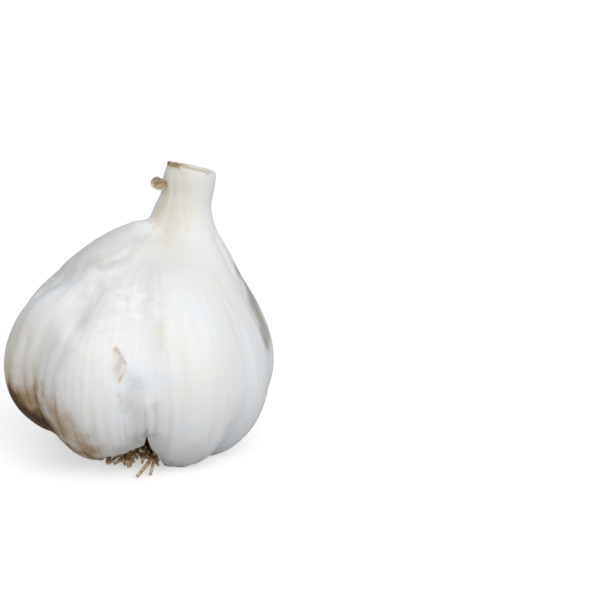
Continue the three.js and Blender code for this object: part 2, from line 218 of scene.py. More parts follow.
print("the neck's line ends at x =", round(float(smooth_along(LEAN, NECK_TOP)), 1))


# %% Beads along the cloves
def clove_beads():
    """The beads of all the cloves, one to a row: x, y, z, radius."""
    rows = [[0, 0, z, r] for z, r in HEART]
    s = np.linspace(0, 1, BEADS_PER_CLOVE)
    for turn, twist, reach, foot, tip, girth, shoulder in CLOVES:
        # each line gives the value at the foot, at two points on the way, and at the tip
        a = np.radians(turn + twist * s * s)
        out = bezier(12, 0.78 * reach, shoulder * reach, 6, s)
        z = bezier(foot + 8 * girth, foot + 14, tip - 12, tip, s)
        r = bezier(8 * girth, 15 * girth, 14 * girth, 3, s)
        x = np.cos(a) * out + CLOVE_LEAN * smooth_along(LEAN, z)
        rows += np.c_[x, np.sin(a) * out, z, r].tolist()
    return np.array(rows)


BEADS = clove_beads()
print(len(BEADS), "beads in", len(CLOVES), "cloves and the heart")


# %% A minimum with no crease
def smooth_min(values, blend):
    """The least of the values along the last axis, rounded off where two are about the same."""
    least = values.min(axis=-1)
    return least - blend * np.log(np.exp((least[..., None] - values) / blend).sum(axis=-1))


print("two beads 1 mm away:", smooth_min(np.array([1.0, 1.0]), SKIN_BLEND).round(2), "mm")


# %% The tucks between the cloves
def tuck_depth(p):
    """How deep the skin is drawn in between the cloves at each point, most of all at the foot."""
    low = np.clip((TUCK_TOP - p[:, 2]) / TUCK_TOP, 0, 1)
    fade = low * low * (3 - 2 * low)
    depth = np.zeros(len(p))
    for turn, deep in TUCKS:
        a = math.radians(turn)
        out = p[:, 0] * math.cos(a) + p[:, 1] * math.sin(a)
        across = p[:, 1] * math.cos(a) - p[:, 0] * math.sin(a)
        begun = np.clip((out - TUCK_START) / TUCK_RUN, 0, 1)
        depth += deep * fade * np.exp(-((across / TUCK_WIDTH) ** 2)) * begun
    return depth


print("a tuck at the floor:", tuck_depth(np.array([[20.0, 0, 0]])).round(2), "mm deep")


# %% Soft strokes
def to_line(p, points):
    """Distance from each point of p to a line through points, or to a single point."""
    points = np.array(points, float)
    if len(points) == 1:
        return np.linalg.norm(p - points[0], axis=-1)
    nearest = np.full(p.shape[:-1], np.inf)
    for a, b in zip(points, points[1:]):
        t = np.clip(((p - a) @ (b - a)) / ((b - a) @ (b - a)), 0, 1)
        nearest = np.minimum(nearest, np.linalg.norm(p - a - t[..., None] * (b - a), axis=-1))
    return nearest


def pressed(p, strokes):
    """How deep the strokes (depth, width, line) press in, with soft edges."""
    return sum(depth * np.exp(-((to_line(p, line) / width) ** 2))
               for depth, width, line in strokes)


print("the first fold at its start:", pressed(np.array([FOLDS[0][2][0]]), FOLDS[:1]), "mm deep")


# %% Distance to the skin
def skin_distance(p):
    """How far each point stands off the skin."""
    centres, radii = BEADS[:, :3], BEADS[:, 3]
    squares = (p**2).sum(1)[:, None] + (centres**2).sum(1) - 2 * p @ centres.T
    to_beads = np.sqrt(np.maximum(squares, 0)) - radii
    to_cloves = smooth_min(to_beads, SKIN_BLEND) + tuck_depth(p)
    from_axis = np.hypot(p[:, 0] - smooth_along(LEAN, p[:, 2]),
                         p[:, 1] * along(FLATNESS, p[:, 2]))
    to_funnel = FUNNEL_SLOPE * (from_axis - smooth_along(FUNNEL, p[:, 2]))
    return smooth_min(np.stack([to_cloves, to_funnel], -1), NECK_BLEND) + pressed(p, FOLDS)


print("40 mm out at the belly:", skin_distance(np.array([[40.0, 0, 20]])).round(1), "mm off")

# %% Walk in to the skin along a fan of lines
# Each pair starts with the share of the way up. Then comes how steeply the line points up, in
# degrees; the height that it starts from on the neck's line; and how much it follows the cut.
FAN_PITCH = [(0, -86), (0.5, 12), (0.62, 32), (0.72, 45), (0.8, 45), (0.88, 30), (1, 0)]
FAN_START = [(0, 24), (0.5, 24), (0.62, 26), (0.72, 31), (0.8, 40), (0.88, 50), (1, NECK_TOP)]
FAN_SLOPE = [(0.85, 0), (1, CUT_SLOPE)]


def skin_points(around, share, steps=45):
    """Points of the skin, for arrays of the angle around and the share of the way up."""
    pitch = np.radians(along(FAN_PITCH, share))
    height = along(FAN_START, share)
    start = np.stack([smooth_along(LEAN, height), 0 * height, height], -1).reshape(-1, 3)
    line = np.stack([
        np.cos(around) * np.cos(pitch),
        np.sin(around) * np.cos(pitch),
        np.sin(pitch) + along(FAN_SLOPE, share) * np.cos(around),
    ], -1).reshape(-1, 3)
    line /= np.linalg.norm(line, axis=-1, keepdims=True)
    p = start.copy()
    for _ in range(steps):
        p -= line * skin_distance(p)[:, None]
    p[:, 2] = np.maximum(p[:, 2], 0)  # flat where the bulb stands on the floor
    return p.reshape(around.shape + (3,))


top_point = skin_points(np.zeros(1), np.ones(1))[0]
print("the cut's right-hand end is at", top_point.round(1))

# %% [markdown]
# ## The grid of the skin
# The skin becomes one closed grid: columns run along the fibres from foot to neck, rings run
# round the bulb. Columns stand closer in front, where the eye goes. The lowest ring is the hem,
# where the skin has frayed away round the roots and is broken in front, with a slit between two
# cloves. It is found by walking up each column to the last point that the break takes away. From
# the hem the grid turns in and lines the hollow, and from the cut it turns in and lines the
# neck, so the piece has no open edge.

# %% Columns
AROUND = 432
RINGS_OUT = 198
CLOSER_IN_FRONT = 0.35
even = np.arange(AROUND) / AROUND * 2 * math.pi
angles = even - CLOSER_IN_FRONT * np.cos(even)
print("columns from", round(math.degrees(np.diff(angles).min()), 2), "to",
      round(math.degrees(np.diff(angles).max()), 2), "degrees apart")

# %% Where the skin is broken away, as seen from the front: x, z
SEAT_RADIUS = 9.3
SEAT_HEIGHT = 4
BREAK_EDGE = [
    (7.2, -1), (7, 2), (6.2, 3.6), (5.4, 5.0), (4.6, 6.6), (3.6, 6.7), (2, 6.2), (0.7, 6.2),
    (-1.1, 5.2), (-2.7, 4.9), (-4.3, 5.0), (-5.8, 4.4), (-5.9, -1),
]
BREAK_START = -5.8  # the y from which the break runs forward
SLIT_EDGE = [(3.9, 6), (4.8, 6), (4.65, 8.2), (4.5, 10.1), (4.25, 10.3), (4.1, 8.4)]
SLIT_START = -18


def inside_outline(x, z, outline):
    """True where a point seen from the front lies inside the outline."""
    inside = np.zeros(x.shape, bool)
    for (x0, z0), (x1, z1) in zip(outline, outline[1:] + outline[:1]):
        if z0 != z1:
            level = x0 + (z - z0) * (x1 - x0) / (z1 - z0)
            inside ^= ((z0 > z) != (z1 > z)) & (x < level)
    return inside


print("the slit ends", max(z for _, z in SLIT_EDGE), "mm up")

# %% Find the hem
HEM_SEARCH = np.linspace(0.03, 0.34, 125)  # shares of the way up that are tried
HEM_FRAY = 0.005
wave_rng = np.random.default_rng(4)


def wavy(angle, counts, size):
    """A closed wobble round the bulb, a few seeded waves added up."""
    total = np.zeros_like(angle)
    for n in counts:
        total += np.sin(n * angle + wave_rng.uniform(0, 2 * math.pi)) / len(counts)
    return size * total


column, level = np.meshgrid(angles, HEM_SEARCH)
trial = skin_points(column, level, steps=25)
x, y, z = np.moveaxis(trial, -1, 0)
turn = np.arctan2(y, x)
seat_edge = SEAT_RADIUS * (1 + 0.06 * np.sin(3 * turn + 1) + 0.03 * np.sin(7 * turn))
gone = (np.hypot(x, y) < seat_edge) & (z < SEAT_HEIGHT)
gone |= (y < BREAK_START) & inside_outline(x, z, BREAK_EDGE)
gone |= (y < SLIT_START) & inside_outline(x, z, SLIT_EDGE)
hem_share = np.where(gone, level, HEM_SEARCH[0]).max(axis=0)
hem_share += wavy(angles, (37, 59, 83, 101), HEM_FRAY)
print("hem from", round(float(hem_share.min()), 3), "to", round(float(hem_share.max()), 3))

# %% Rings from the hem up to the cut
# Every ring keeps one level, except that none may start below the hem: there they crowd together.
CROWDING = 0.12
level = np.linspace(hem_share.min(), 1, RINGS_OUT)[:, None]
shares = np.maximum(level, hem_share + CROWDING * (level - level[0]))
around_grid = np.broadcast_to(angles, shares.shape)
outer = skin_points(around_grid, shares)
print("outer skin:", outer.shape[0], "rings of", outer.shape[1], "points")


# %% Normals of a closed grid
def grid_normals(grid):
    """Which way the surface faces at each point of a grid of rings."""
    across = np.roll(grid, -1, axis=1) - np.roll(grid, 1, axis=1)
    up = np.gradient(grid, axis=0)
    normal = np.cross(across, up)
    return normal / np.maximum(np.linalg.norm(normal, axis=-1, keepdims=True), 1e-9)


outer_normals = grid_normals(outer)
print("lowest point", round(float(outer[..., 2].min()), 2), "mm")

# %% [markdown]
# ## Creases and small dents
# Dry skin is not as smooth as the cloves. It wrinkles where one clove leans over the next, pleats
# along its fibres and up the neck, and a little flake has torn out in front. Each is a stroke: a
# line of points on the bulb with a depth and a width, pressed into the grid with soft edges.
# Below zero it stands out.

# %% Lines that creases, stains and painted shade share, from the middle of the ring of cloves
OVERLAP = [(2.3, -8, 47.7), (0.4, -10.5, 44.8), (-1.7, -11.5, 43.7), (-5.5, -11.9, 42.9),
           (-9, -10.3, 43.2), (-12.6, -9, 41.4), (-16.3, -7.6, 38.8)]  # under the upper left clove
UPPER_LEFT = [(-1.5, -7.8, 50), (-9, -7.4, 46.6), (-14.5, -6.5, 42.2)]  # along that clove
TEAR = [(-1.1, -27.6, 29.8), (0.1, -28.2, 28.1), (0.75, -28.5, 26.7), (0.4, -29.1, 25.2),
        (-0.5, -29.8, 23.6)]
TEAR_LEFT = [(-1.2, -27.7, 29.6), (-1.3, -28.6, 27.2), (-1.3, -29.3, 25.4), (-0.9, -29.9, 23.7)]
TEAR_INSIDE = [(-0.3, -28.4, 27.4), (-0.5, -29.3, 24.9)]
print("the tear is", round(math.dist(TEAR[0], TEAR[-1]), 1), "mm long")

# %% Creases, listed one by one
CREASES = [  # depth, width, line
    (0.30, 0.8, OVERLAP),
    (0.55, 2.1, [(-13.6, -9.2, 40), (-15.6, -6.8, 39.9), (-17, -4, 39.9)]),
    (0.22, 0.7, [(-0.1, -9.7, 47.2), (-3.3, -11.4, 45.2), (-6.8, -11.2, 43.6)]),
    (0.16, 0.6, [(-3.8, -10.6, 46.9), (-7.7, -10.4, 44.7), (-11.6, -8.4, 43.4), (-15, -7.7, 40.4)]),
    (0.30, 1.5, [(-8.3, -17.7, 36.3), (-9.5, -22.2, 33.2), (-12.5, -25.4, 28.8),
                 (-14.6, -26.5, 23.1), (-15.2, -26.6, 18.4), (-15.2, -24.7, 12.4)]),
    (0.20, 0.7, [(4.0, -28.7, 21), (4.1, -28.2, 16), (4.1, -27.3, 12.6), (4.1, -24.5, 9.2)]),
    (-0.26, 0.7, [(5.2, -28.6, 18.0), (5.0, -27.3, 13.6), (4.9, -25.7, 10.6)]),
    (0.22, 1.1, [(6.8, -28.2, 17.6), (6.3, -27.2, 13.5), (5.9, -25.4, 9.8)]),
    (0.32, 0.9, [(22.3, -0.2, 40.2), (24.1, -1.6, 35.6), (25.8, -3.4, 30.9), (27.0, -5.3, 26.4),
                 (27.6, -7, 21)]),
    (0.30, 0.9, [(-0.4, -28.2, 28.2), (0.0, -28.7, 26.6), (-0.4, -29.3, 25.1)]),
    (-0.20, 0.35, TEAR_LEFT),
    (0.16, 0.5, [(-0.7, -30.2, 20.6), (0, -30.1, 19.1), (-0.8, -30.1, 17.4), (0.4, -29.9, 16)]),
    (0.12, 0.5, [(0.8, -29.8, 19.4), (1.6, -29.4, 17.8), (0.9, -29.6, 16.6)]),
    (0.10, 0.5, [(10.9, -4.2, 61.4), (11.1, -4.5, 57), (11.4, -5, 53), (11.6, -7, 48.5)]),
    (0.07, 0.45, [(13.9, -4, 61), (13.9, -4.4, 57), (14.0, -4.6, 53), (14.3, -6.4, 48.6)]),
    (0.09, 0.5, [(9.3, -3.4, 60.5), (9.0, -3.8, 56), (8.4, -4.6, 52.8), (7.4, -6.2, 50)]),
]
print(len(CREASES), "creases set by hand")

# %% Pleats along the fibres
PLEATS = [  # in front: depth, width, column, first and last ring
    (0.18, 1.1, 290, 12, 62), (0.15, 0.8, 302, 10, 74), (0.20, 1.2, 314, 12, 50),
    (0.22, 1.3, 357, 8, 64), (0.16, 0.9, 367, 12, 92), (0.25, 1.5, 378, 8, 56),
    (0.18, 1.0, 390, 10, 82), (0.22, 1.3, 402, 10, 60), (0.15, 0.9, 240, 40, 96),
    (0.20, 1.3, 252, 30, 84),
]
PLEATS_BEHIND = 9
EVERY = 6  # a stroke along a fibre takes one grid point in six
for depth, width, number, first, last in PLEATS:
    CREASES.append((depth, width, outer[first:last:EVERY, number]))
fold_rng = np.random.default_rng(8)
for number in range(PLEATS_BEHIND):
    first = fold_rng.integers(70, 140)
    line = outer[first:first + fold_rng.integers(20, 50):EVERY, 10 + 22 * number]
    CREASES.append((fold_rng.uniform(0.08, 0.24), fold_rng.uniform(0.6, 1.3), line))

press = pressed(outer, CREASES)
outer = outer - outer_normals * press[..., None]
outer[..., 2] = np.maximum(outer[..., 2], 0)
print(len(CREASES), "strokes, deepest", round(float(press.max()), 2), "mm")

# %% [markdown]
# ## Lining the hollow and the neck
# The hem has the thickness of a few skins. From its inner edge the lining runs up to the corky
# disc. At the cut the skin turns over a thin rim and lines the neck.

# %% Lining
SKIN_THICKNESS = 0.22
DISC_EDGE_RADIUS = 7.0
DISC_EDGE_HEIGHT = 5.6
LINING_RINGS = 12
LINING_BULGE = 1.6
CEILING_RISE = 0.9

outer_normals = grid_normals(outer)
hem_ring = outer[0]
hem_inner = hem_ring - outer_normals[0] * SKIN_THICKNESS
disc_edge = np.stack([DISC_EDGE_RADIUS * np.cos(angles), DISC_EDGE_RADIUS * np.sin(angles),
                      0 * angles + DISC_EDGE_HEIGHT], -1)
lining = []
for t in np.linspace(1, 0.08, LINING_RINGS):
    p = hem_inner * (1 - t) + disc_edge * t
    p[:, 2] += LINING_BULGE * t * (1 - t)
    lining.append(p)
ceiling = [disc_edge * [k, k, 1] + [0, 0, CEILING_RISE * (1 - k)] for k in (0.1, 0.45, 0.8)]
print("hollow:", len(lining), "rings of lining and", len(ceiling), "of ceiling")

# %% The cut end
NECK_LINING = 5.0
cut_ring = outer[-1]
cut_middle = np.array([float(smooth_along(LEAN, NECK_TOP)), 0, NECK_TOP])
neck_down = np.array([float(smooth_along(LEAN, NECK_TOP - NECK_LINING)) - cut_middle[0], 0,
                      -NECK_LINING])
neck_down /= np.linalg.norm(neck_down)


def neck_ring(inset, down, base=cut_ring):
    """The outline of the cut, drawn in by inset and moved down the neck."""
    spoke = base - cut_middle
    length = np.linalg.norm(spoke, axis=-1, keepdims=True)
    spoke = spoke / length * np.maximum(length - inset, 0.15)
    return cut_middle + spoke + neck_down * np.asarray(down)[..., None]


rim = wavy(angles, (2, 5, 9), 0.10) + wavy(angles, (17, 31, 43), 0.07)
neck_turn = [neck_ring(0.05, rim - 0.12), neck_ring(0.22, rim - 0.15), neck_ring(0.36, rim - 0.06)]
neck_wall = [neck_ring(0.40, rim + d) for d in (0.3, 0.9, 1.8, 3.0, NECK_LINING)]
neck_floor = [neck_ring(inset, rim * 0 + NECK_LINING) for inset in (1.5, 3.2)]

print("the rim wanders by", round(float(np.ptp(rim)), 2), "mm")

# %% All the rings of the skin
outer[-1] += neck_down * rim[:, None]
skin_rings = np.concatenate([
    np.array(ceiling), np.array(lining), outer,
    np.array(neck_turn), np.array(neck_wall), np.array(neck_floor)])
first_outer = len(ceiling) + len(lining)
print("whole skin:", len(skin_rings), "rings,", 2 * len(skin_rings) * AROUND, "triangles")


# %% From rings to a mesh
def mesh_from_rings(name, rings, close_ends=True):
    """A closed mesh through rings of points in mm, the object's place in its mesh."""
    count, n = rings.shape[:2]
    points = (rings.reshape(-1, 3) + RING_CENTRE) * MM
    i, j = np.meshgrid(np.arange(count - 1), np.arange(n), indexing="ij")
    k = (j + 1) % n
    faces = np.stack([i * n + j, i * n + k, (i + 1) * n + k, (i + 1) * n + j], -1)
    faces = faces.reshape(-1, 4).tolist()
    if close_ends:
        low, high = points[:n].mean(0), points[-n:].mean(0)
        points = np.vstack([points, low, high])
        last = (count - 1) * n
        for a in range(n):
            b = (a + 1) % n
            faces.append((count * n, b, a))
            faces.append((count * n + 1, last + a, last + b))
    mesh = bpy.data.meshes.new(name)
    mesh.from_pydata(points, [], faces)
    mesh.shade_smooth()
    return new_object(name, mesh)


skin = mesh_from_rings("wrapped_skin", skin_rings)
print(skin.name, len(skin.data.vertices), "points")


# %% Values kept on the points
def store(piece, name, values, kind="FLOAT"):
    """Keeps a value for every point of a mesh, for materials and node trees to read."""
    values = np.asarray(values, np.float32)
    missing = len(piece.data.vertices) - len(values)
    if missing > 0:
        values = np.concatenate([values, np.repeat(values[-1:], missing, axis=0)])
    layer = piece.data.attributes.new(name, kind, "POINT")
    layer.data.foreach_set("vector" if kind == "FLOAT_VECTOR" else "value", values.ravel())


inside = np.zeros(len(skin_rings))
inside[:first_outer - 1] = 1
store(skin, "hollow", np.broadcast_to(inside[:, None], skin_rings.shape[:2]).ravel())
print(int(inside.sum()), "rings line the hollow")

# %% [markdown]
# ## Where the skin is stained, and where shade and a highlight are painted on it
# Soil and damp leave marks that follow the fibres. Each stain, and each painted shade or
# highlight, is painted as a few soft strokes, kept as a value on every point. The material later
# breaks them up into streaks. The strokes are lines from the middle of the ring of cloves, each
# with a strength and a width.

# %% Brown: soil and damp stains, with painted shade along the lower left foot and down the right side
LEFT_FOOT_STAIN_AND_SHADE = [(-24.6, -13.5, 14.5), (-23.3, -14.4, 12.4), (-21.2, -15.6, 11.0),
             (-18.5, -17.2, 10.0), (-16, -21.5, 10.2)]
FRONT_FOOT = [(-15.5, -22.5, 9.5), (-12.6, -24, 7.6), (-9.5, -24.6, 5.9), (-6.8, -22, 3.9)]
HEM_LINE = [(-6.3, -22.5, 4.6), (-2.7, -23.4, 5.4), (1.5, -22.6, 6.6), (4.2, -22.6, 8.2)]
# down the right side, turned from the key light: painted shade, in grey and brown
RIGHT_SIDE_SHADE = [(23.2, 2.4, 38.4), (24.8, 3.3, 34.9), (26.5, 2.9, 30.9), (27.8, 2.3, 27.8),
              (28.8, 1.6, 24)]
BROWN_STAIN_AND_SHADE = [
    # the lower left foot is a soil stain and painted shade, darkest along the bottom edge
    (1.15, 4.2, LEFT_FOOT_STAIN_AND_SHADE),
    (1.00, 4.0, [(-21.8, -12.5, 10.5), (-18.4, -14, 8.2), (-15.2, -18, 7.8)]),
    (0.85, 2.8, [(-21.5, -16.0, 12.6), (-18.4, -19.6, 12.6), (-16.4, -23, 12.6)]),
    (0.62, 5.0, [(-24.8, -14.0, 15.5), (-21.5, -17.5, 15.2), (-18.3, -21, 15)]),
    (0.50, 1.8, [(-24.6, -15, 19.5), (-24.2, -15.4, 16.5)]),
    (0.55, 1.5, [(-18.0, -22, 20.5), (-19.4, -20.6, 17.5)]),
    (0.30, 8.5, [(-24.5, -14.5, 17.0), (-19.5, -19.5, 14.5)]),
    (0.55, 1.3, [(-16.8, -24.0, 19.0), (-16.6, -23.6, 16), (-15.8, -23.8, 12.4)]),
    (0.34, 1.1, [(-17.2, -24, 21.6), (-16.6, -24.6, 19.6)]),
    (0.64, 2.2, FRONT_FOOT),
    (0.48, 5.0, [(-13.6, -27, 16), (-12, -26.4, 11), (-8, -26.2, 7.5)]),
    (0.16, 2.0, HEM_LINE),
    (0.34, 0.6, [(4.0, -25.8, 10.4), (4.2, -24, 8.6)]),
    (0.26, 1.0, [(6.2, -21.5, 4.6), (8.6, -20.4, 2.6)]),
    (0.15, 0.7, [(8, -23.8, 33.6), (8, -25, 31.6), (7.9, -26, 29.6)]),
    (0.16, 1.6, [(-8.9, -19.5, 35.2), (-8.9, -21.5, 33.8)]),
    (0.52, 0.50, TEAR[:3]),
    (0.32, 0.50, TEAR[2:]),
    (0.60, 0.50, TEAR[1:2]),
    (0.13, 0.95, TEAR_INSIDE),
    (0.20, 0.6, [(-0.7, -30.2, 20.4), (0.2, -30.1, 18.6)]),
    (0.28, 1.8, RIGHT_SIDE_SHADE),
    (0.16, 0.9, [(8.1, -2.9, 58.8), (7.5, -3.1, 55.8), (6.6, -3.6, 53.4)]),
    (0.85, 0.75, [(7.9, 2.4, 63.6), (7.6, 0, 63.7), (8.4, -2.4, 63.5), (10.2, -3.7, 63.1)]),
    (0.35, 0.45, [(16.6, -2.9, 61.3), (17.4, -1.6, 61.1)]),
]
print(len(BROWN_STAIN_AND_SHADE), "brown strokes")

# %% Yellow: old, dry skin
YELLOW = [
    (0.95, 1.1, [(8.0, -2.7, 59), (7.1, -2.4, 56.4), (6.1, -3.1, 53.6), (4.8, -4.4, 51.2)]),
    (0.80, 0.7, [(8.3, -3.2, 58), (7.4, -3.8, 54.6), (5.9, -5.1, 50.9), (3.9, -7, 48.7)]),
    (0.50, 1.0, [(9.0, -3.6, 58.2), (8.7, -4.0, 54), (8.0, -5.6, 50.6), (7.0, -7.6, 47.8)]),
    (0.40, 1.1, [(12.8, -4.2, 58.0), (12.9, -4.5, 54), (13.0, -6, 50)]),
    (0.50, 4.0, [(9.5, -3.5, 60), (9.5, -4.6, 53), (8.6, -7.4, 48.6)]),
    (0.16, 5.5, UPPER_LEFT),
    (0.40, 1.0, [(8, -23.8, 33.8), (8, -25, 31.6), (7.9, -26, 29.4)]),
    (0.45, 0.8, [(-0.4, -28.4, 27.6), (-0.4, -29.2, 25.4)]),
    (0.30, 5.0, [(10, -4, 56), (9.5, -8, 48), (11, -11, 45)]),
    (0.62, 4.6, [(-24.0, -12.5, 30), (-25.5, -12.5, 20)]),
    (0.40, 6.0, [(-19, -19, 26), (-20, -19, 19)]),
    (0.80, 0.7, [(-19.6, -19.6, 25.6), (-19.2, -20.6, 22), (-18.6, -21, 18)]),
    (0.70, 0.9, [(-23.0, -14.2, 29.5), (-24.2, -14.6, 25), (-24.4, -15, 20.5)]),
    (0.45, 1.6, [(-16.6, -24.4, 23), (-16.4, -24, 18)]),
    (0.55, 0.45, TEAR_LEFT),
    (0.18, 1.0, [(6.6, -13, 43), (8.2, -20, 37.6), (8.4, -25.5, 29)]),
]
print(len(YELLOW), "yellow strokes")

# %% Grey: painted shade in creases, valleys, the dimple and the tear, and on the sides turned from the key light
GREY_SHADE = [
    (0.16, 8.0, [(6, -14, 43), (0, -17, 39.5)]),
    (0.60, 0.9, OVERLAP + [(-19.9, -4, 36.9)]),
    (0.30, 2.6, [(-10.1, -12.3, 40.4), (-9, -16.6, 37)]),
    (0.45, 1.7, [(-8.3, -17.7, 36.3), (-9.3, -21.8, 33.4)]),
    (0.30, 2.0, [(-12.5, -25.4, 28.8), (-14.6, -26.5, 23.1)]),
    (0.55, 2.2, [(2.0, -29, 23), (2.2, -28.5, 16), (2.6, -26, 10.6)]),
    (0.60, 1.6, [(-1.0, -25.0, 7.0), (2.6, -24.6, 8.4)]),
    (0.42, 0.8, [(4.0, -28.7, 20), (4.1, -28.2, 15), (4.1, -27, 12)]),
    (0.55, 0.8, [(6.7, -28.2, 17.6), (6.2, -26.9, 13.5), (5.9, -25, 9.8)]),
    (0.60, 0.9, TEAR_INSIDE),
    (1.9, 3.0, RIGHT_SIDE_SHADE),
    (0.58, 5.5, UPPER_LEFT),
]
print(len(GREY_SHADE), "grey strokes")

# %% Pale flaking patches, which are also a painted highlight on the front shoulders, and places where the fibres show most
PALE_FLAKES_AND_HIGHLIGHT = [
    (1.0, 5.0, [(-4, -17, 38.6), (1, -19.4, 38), (6, -20.6, 37.4)]),
    (0.8, 4.0, [(-2, -24, 34.6), (-7.6, -26.6, 30.6)]),
]
STREAKY = [
    (1.0, 8.0, [(-12, -27, 17), (-5, -27, 12), (0, -28, 12)]),
    (0.7, 7.0, [(-23, -17, 22), (-19, -19, 14)]),
    (0.5, 6.0, [(9, -27, 14), (15, -25, 13)]),
    (0.15, 4.0, [(12, -5, 60), (11, -6, 50)]),
]
print(len(PALE_FLAKES_AND_HIGHLIGHT), "patches,", len(STREAKY), "streaky places")

# %% How a stroke is painted
WAVES = ((6.5, 0.50), (2.9, 0.26), (1.3, 0.13))  # wavelength, size
FULL_WANDER = 1.5  # strokes thinner than this wander less
stain_rng = np.random.default_rng(12)


def wandering(p):
    """Seeded waves that shift the points, so that the edge of a stroke wanders like a stain's."""
    shift = np.zeros(p.shape)
    for wavelength, size in WAVES:
        for axis in range(3):
            way = stain_rng.normal(size=3)
            phase = p @ (way / np.linalg.norm(way)) / wavelength + stain_rng.uniform()
            shift[..., axis] += size * np.sin(2 * math.pi * phase)
    return shift


def painted(p, strokes):
    """The strongest of the soft strokes (strength, width, line) at each point."""
    total = np.zeros(p.shape[:-1])
    shift = wandering(p)
    for strength, width, line in strokes:
        far = to_line(p + shift * min(1, width / FULL_WANDER), line)
        total = np.maximum(total, strength * np.exp(-((far / width) ** 2)))
    return total


print("edges wander by up to", round(sum(size for _, size in WAVES), 2), "mm each way")

# %% Marks round the back, each along one fibre
MARKS_BEHIND = 12
MARK_EVERY = 5  # a mark takes one grid point in five
mark_rng = np.random.default_rng(31)
for number in range(MARKS_BEHIND):
    first = mark_rng.integers(30, 125)
    column_number = 10 + 17 * number + mark_rng.integers(-6, 6)
    line = outer[first:first + mark_rng.integers(15, 45):MARK_EVERY, column_number]
    BROWN_STAIN_AND_SHADE.append((mark_rng.uniform(0.08, 0.26), mark_rng.uniform(0.5, 1.4), line))
    YELLOW.append((mark_rng.uniform(0.2, 0.5), mark_rng.uniform(1.5, 3.5), line))
BROWN_STAIN_AND_SHADE.append((0.30, 2.4, outer[4, 0:AROUND // 2:9]))  # soil at the foot
print(MARKS_BEHIND, "marks and a stroke of soil")

# %% Where each point lies along and across the fibres
HEM_FADE = 0.016  # over this share of the way up from the hem the fibres come in
CUT_FADE = 0.02  # and over this share below the cut they go out
GATHERED = 24  # nearer than this to the neck's line the fibres draw together, and are lower
is_outer = np.zeros(len(skin_rings))
is_outer[first_outer:first_outer + RINGS_OUT] = 1
share_rings = np.zeros(skin_rings.shape[:2])
share_rings[first_outer:first_outer + RINGS_OUT] = shares
share_rings[first_outer + RINGS_OUT:] = 1
above_hem = np.clip((share_rings - hem_share) / HEM_FADE, 0, 1)
fibre_fade = above_hem * np.clip((1.0 - share_rings) / CUT_FADE, 0, 1) * is_outer[:, None]
from_line = np.hypot(skin_rings[..., 0] - smooth_along(LEAN, skin_rings[..., 2]),
                     skin_rings[..., 1])
fibre_fade *= np.clip(from_line / GATHERED, 0, 1) ** 1.3
column = np.broadcast_to(angles, skin_rings.shape[:2])
fibre_space = np.stack([np.cos(column), np.sin(column), 4 * share_rings], -1)
store(skin, "fibre_space", fibre_space.reshape(-1, 3), "FLOAT_VECTOR")
store(skin, "fibre_fade", fibre_fade.ravel())
print("fibres at full height on", round(float((fibre_fade > 0.9).mean()), 2), "of the points")

# %% Keep the stains, painted shade and painted highlight on the skin
HEM_STAIN = 0.38
GREY_SHADE_SHARE = 0.65
frayed = (1 - above_hem) * HEM_STAIN
store(skin, "brown_stain_and_shade", np.maximum(painted(skin_rings, BROWN_STAIN_AND_SHADE), frayed).ravel())
store(skin, "yellow", painted(skin_rings, YELLOW).ravel())
store(skin, "grey_shade", GREY_SHADE_SHARE * painted(skin_rings, GREY_SHADE).ravel())
store(skin, "pale_flakes_and_highlight", painted(skin_rings, PALE_FLAKES_AND_HIGHLIGHT).ravel())
store(skin, "streaky", painted(skin_rings, STREAKY).ravel())
print("stains stored on", len(skin.data.vertices), "points")

# %% [markdown]
# ## Relief of the fibres
# Fine ribs run from foot to neck all round the skin. They follow the surface, so a Geometry Nodes
# tree raises them: it reads each point's place along and across the fibres, and moves the point
# along its normal. Noise stretched along the fibres gives ribs that wander and fade.


# %% A node tree with named sockets
def new_tree(name, kind, inputs, outputs):
    """A node group with named sockets. An input is given as its default, or as its type."""
    tree = bpy.data.node_groups.new(name, kind)
    for socket_name, default in inputs.items():
        typed = isinstance(default, str)
        socket_type = default if typed else type(default).__name__.title()
        socket = tree.interface.new_socket(name=socket_name, in_out="INPUT",
                                           socket_type="NodeSocket" + socket_type)
        if not typed:
            socket.default_value = default
    for socket_name, socket_type in outputs.items():
        tree.interface.new_socket(name=socket_name, in_out="OUTPUT",
                                  socket_type="NodeSocket" + socket_type)
    return tree, tree.nodes.new("NodeGroupInput"), tree.nodes.new("NodeGroupOutput")


print("helper for trees: new_tree")


# %% Nodes and their inputs
def feed(tree, node, **inputs):
    """Gives a node its inputs: values or sockets, by name with _ for a space, or by place."""
    for key, value in inputs.items():
        place = int(key[1:]) if key[0] == "i" and key[1:].isdigit() else key.replace("_", " ")
        if isinstance(value, bpy.types.NodeSocket):
            tree.links.new(value, node.inputs[place])
        else:
            node.inputs[place].default_value = value
    return node


def put(tree, node_type, settings=None, **inputs):
    """Adds a node with its settings and its inputs."""
    node = tree.nodes.new(node_type)
    for key, value in (settings or {}).items():
        setattr(node, key, value)
    return feed(tree, node, **inputs)


print("helpers for nodes: feed, put")

# %% Sums in a node tree
def math_node(tree, operation, a, b, clamp=False):
    """What a sum gives for two values, each a number or a socket."""
    settings = {"operation": operation, "use_clamp": clamp}
    return put(tree, "ShaderNodeMath", settings, i0=a, i1=b).outputs[0]


def times(tree, a, b, clamp=False):
    return math_node(tree, "MULTIPLY", a, b, clamp)


def plus(tree, a, b, clamp=False):
    return math_node(tree, "ADD", a, b, clamp)


def minus(tree, a, b):
    return math_node(tree, "SUBTRACT", a, b)


